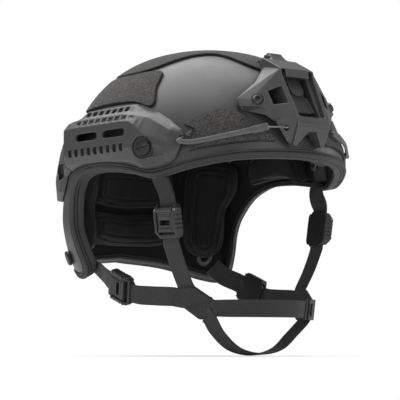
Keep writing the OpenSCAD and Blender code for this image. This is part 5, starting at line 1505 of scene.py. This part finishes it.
SLOTTED = [[4, -3], [4, 0.3], [6.6, 0.3], [6.95, 0.6], [7, 1.2], [7, 2.7], [6.8, 3.15], [6.3, 3.5],
           [5.4, 3.75], [3, 3.9], [0.4, 3.95]]
BUTTON = [[2.5, -3], [2.5, 0], [4.4, 0], [4.72, 0.3], [4.75, 0.7], [4.45, 1.7], [3.8, 2.5], [3.2, 2.95],
          [1, 3.0], [0.3, 3.0]]
HEX_R = 2.45
slotted = lathe("slotted_head", SLOTTED)
carve(slotted, [[(x, y * w, z) for x in (-8, 8) for y in (-1, 1) for z, w in ((2.25, 0.8), (4.4, 1.0))]])
soften(slotted, 0.26, 2, 0.35)
button = lathe("button_head", BUTTON)
carve(button, [[(HEX_R * math.cos(a), HEX_R * math.sin(a), z) for a in np.radians(range(0, 360, 60))
                for z in (0.9, 5)]])
soften(button, 0.2, 2, 0.35)


# %% Screws
def both_sides(p, aim, along):
    return [(p, aim, along, 1.0), (p * FLIP, aim * FLIP, along * FLIP, 1.0)]


def level_line(aim, lift):
    """A direction in the screw's face, raised from level by so many degrees."""
    level = unit(np.cross([0, 0, 1], aim))
    up = np.cross(aim, level)
    return level * math.cos(math.radians(lift)) + up * math.sin(math.radians(lift))


rear_aim, nape_aim, shroud_aim = normal_at(-129.5, 21), normal_at(-138, -84), unit([-0.42, -0.78, 0.46])
seats = both_sides(FRONT_SEAT, FRONT_SCREW_OUT, level_line(FRONT_SCREW_OUT, 12))
seats += both_sides(on_side(-129.5, 21, 0) + rear_aim * 5.6, rear_aim, level_line(rear_aim, -34))
seats += both_sides(on_side(-138, -84, 0) + nape_aim * 0.3, nape_aim, level_line(nape_aim, 62))
screws = repeat("slotted_screws", slotted, screw_black, seats)
dress(screws, ["rail_front_screws", "rail_rear_screws", "nape_screws"])
seats = both_sides(on_side(-18.8, 42.6, 0) + shroud_aim * 10.4, shroud_aim, level_line(shroud_aim, 20))
dress(repeat("shroud_button_screws", button, black_steel, seats), ["shroud_screws"])

# %% [markdown]
# ### Stitches
#
# Rows of thread hold the patches to the straps. A bump could draw them, but it would vanish from the
# side, and real stitches stand up from the webbing. One short rounded thread is repeated along lines
# beside the patches' edges, each turned by a little chance, because a sewing machine never sets two quite
# alike.

# %% One stitch
f = Finish("stitch_thread", 0.8, Sheen_Weight=0.2)
f.colour(f.blend(f.noise(700, 2), grey(0.01), grey(0.02)))
f.relief(f.noise(2500, 2), 0.0001, 0.5)
stitch_thread = f.material
STITCH_RINGS = ((-1.15, -0.2, 0.1), (-0.8, 0.02, 0.17), (0, 0.1, 0.19), (0.8, 0.02, 0.17), (1.15, -0.2, 0.1))
STITCH_SIDES = 6


def stitch_item():
    """A short rounded thread that dips at both ends."""
    around = np.linspace(0, 2 * math.pi, STITCH_SIDES, endpoint=False)
    points = [[x, r * math.cos(a), z + r * math.sin(a)] for x, z, r in STITCH_RINGS for a in around]
    k = len(STITCH_RINGS)
    faces = tube_faces(k, STITCH_SIDES) + end_faces(k, STITCH_SIDES)
    return wrap_mesh("stitch", mesh_of("stitch", points, faces), stitch_thread)


print("made", stitch_thread.name)

# %% Rows of stitches
STITCH_PITCH, STITCH_SCALE, STITCH_JITTER, STITCH_SEED = 2.9, 0.55, 0.06, 7
UPPER_LIFT, LOWER_LIFT = 1.42, 0.95


def seam(line, out):
    """Stitch places along a line of points that all face one way."""
    both = np.hstack([line, unit(np.broadcast_to(out, np.shape(line)))])
    path, _ = even_line(both, STITCH_PITCH)
    way = unit(np.gradient(path[:, :3], axis=0))
    return [(p[:3], p[3:], w, 1.0) for p, w in zip(path, way)]


def patch_seam(a, b, lift, away=2.2):
    """A row of stitches beside one edge of a patch, a little way towards its middle."""
    a, b = np.array(PATCH[a], float), np.array(PATCH[b], float)
    way = unit(b - a)
    inward = np.array([-way[1], way[0]])
    inward = inward * np.sign(inward @ (np.mean(PATCH, axis=0) - a)) * away
    a, b = a + inward + way * CORNER, b + inward - way * CORNER
    return seam([join_point(*(a + (b - a) * t)) + JOIN_OUT * lift for t in (0, 0.25, 0.5, 0.75, 1)], JOIN_OUT)


places = []
for edge in ((0, 1), (0, 6), (1, 2), (5, 6)):
    places += patch_seam(*edge, UPPER_LIFT)
places += patch_seam(2, 5, UPPER_LIFT, -1.6) + patch_seam(3, 4, LOWER_LIFT) + patch_seam(2, 3, LOWER_LIFT)
places += [(p * FLIP, aim * FLIP, way * FLIP, size) for p, aim, way, size in places]
stitches = repeat("strap_stitches", stitch_item(), stitch_thread, places, STITCH_JITTER, STITCH_SEED,
                  STITCH_SCALE)
dress(stitches, [])

# %% [markdown]
# ## The solids that stay
#
# The nuts, the hook discs, the strap anchors and the lever pins lie inside or under other pieces, so
# their solids stay as they are. Modelling them again would show nothing. Each gets the finish of its
# material.

# %% Plain finishes for them
f = Finish("pin_steel", 0.28, 1.0)
f.colour(f.blend(f.noise(300, 3), grey(0.42), grey(0.56)))
f.relief(f.noise(1200, 2), 0.00003, 0.3)
pin_steel = f.material
f = Finish("hook_tape", 0.8)
f.colour(f.blend(f.span(f.noise(900, 2), 0.4, 0.6), grey(0.012), grey(0.04)))
f.relief(f.noise(900, 2), 0.0005, 0.8)
hook_tape = f.material
kept = {"inner_nuts": black_steel, "hook_discs": hook_tape, "front_anchors": black_plastic,
        "rear_anchors": pad_knit, "lever_pins": pin_steel}
for name, finish in kept.items():
    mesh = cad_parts[name].data
    mesh.materials.clear()
    mesh.materials.append(finish)
print("finished", len(kept), "solids that stay")

# %% [markdown]
# ## The stage
#
# The picture is a product photograph: a black helmet on white, with soft light. A white sheet that curves
# up behind it would show a shade where it bends. So the floor is one large disc just under the lowest
# strap, and it glows white further away for the camera only, so that no horizon shows. From below it is
# clear, so that it hides nothing.

# %% Floor
FLOOR_R, FLOOR_GAP, GLOW_FROM, GLOW_TO = 30, 0.0005, 0.04, 0.18
lowest = float(cad_box[0][2])
bpy.ops.mesh.primitive_circle_add(vertices=96, radius=FLOOR_R, fill_type="NGON",
                                  location=(0, 0, lowest - FLOOR_GAP))
floor = bpy.context.object
floor.name = "floor"
f = Finish("pale_floor", 0.9)
f.colour((0.86, 0.86, 0.86, 1.0))
far = f.add("ShaderNodeVectorMath", operation="LENGTH")
f.join(f.place, far.inputs[0])
glow = f.add("ShaderNodeEmission")
glow.inputs["Color"].default_value = (1, 1, 1, 1)
glow.inputs["Strength"].default_value = 1.0
seen = f.add("ShaderNodeLightPath").outputs["Is Camera Ray"]
lit = f.add("ShaderNodeMixShader")
f.join(f.math("MULTIPLY", f.span(far.outputs["Value"], GLOW_FROM, GLOW_TO, 0.5, 1.0), seen), lit.inputs[0])
f.join(f.shader.outputs[0], lit.inputs[1])
f.join(glow.outputs[0], lit.inputs[2])
clear = f.add("ShaderNodeMixShader")
f.join(f.math("MULTIPLY", f.add("ShaderNodeNewGeometry").outputs["Backfacing"], seen), clear.inputs[0])
f.join(lit.outputs[0], clear.inputs[1])
f.join(f.add("ShaderNodeBsdfTransparent").outputs[0], clear.inputs[2])
f.join(clear.outputs[0], f.tree.nodes["Material Output"].inputs["Surface"])
floor.data.materials.append(f.material)
print("floor at", round(lowest - FLOOR_GAP, 4), "m")

# %% [markdown]
# Black parts show their form only by what they reflect. Small lamps would leave hard dots, so a large
# soft box hangs above, and three weaker ones at the front and the sides put a soft line along each edge.


# %% Lights
def soft_light(name, place, size, power):
    """A rectangular soft box that looks at the helmet."""
    lamp = bpy.data.lights.new(name, "AREA")
    lamp.shape = "RECTANGLE"
    lamp.size, lamp.size_y = size
    lamp.energy = power
    holder = bpy.data.objects.new(name, lamp)
    bpy.context.scene.collection.objects.link(holder)
    holder.location = place
    holder.rotation_euler = (LIGHTS_LOOK_AT - Vector(place)).to_track_quat("-Z", "Y").to_euler()


LIGHTS_LOOK_AT = Vector((0, 0, -0.02))
soft_light("top_box", (-0.1, 0.4, 1.25), (1.6, 1.7), 30)
soft_light("front_box", (0.1, -1.7, 0.45), (0.9, 0.7), 6)
soft_light("side_box", (-1.6, -0.7, 0.4), (0.8, 0.8), 2)
soft_light("left_box", (1.5, -0.4, 0.5), (0.8, 0.8), 3)
print("lights:", len(bpy.data.lights))

# %% [markdown]
# The air behind everything is pure white to the camera. If it lit the helmet as strongly, the black would
# turn grey, so for all other rays it is much weaker.

# %% Air
SEEN_STRENGTH, LIT_STRENGTH = 1.0, 0.28
world = bpy.data.worlds.new("studio_air")
bpy.context.scene.world = world
world.use_nodes = True
air = world.node_tree
air.nodes.clear()
result = air.nodes.new("ShaderNodeOutputWorld")
path = air.nodes.new("ShaderNodeLightPath")
pick = air.nodes.new("ShaderNodeMixShader")
air.links.new(path.outputs["Is Camera Ray"], pick.inputs[0])
for key, strength in ((1, LIT_STRENGTH), (2, SEEN_STRENGTH)):
    back = air.nodes.new("ShaderNodeBackground")
    back.inputs["Color"].default_value = (1, 1, 1, 1)
    back.inputs["Strength"].default_value = strength
    air.links.new(back.outputs[0], pick.inputs[key])
air.links.new(pick.outputs[0], result.inputs[0])
print("air is", SEEN_STRENGTH, "seen and", LIT_STRENGTH, "as light")
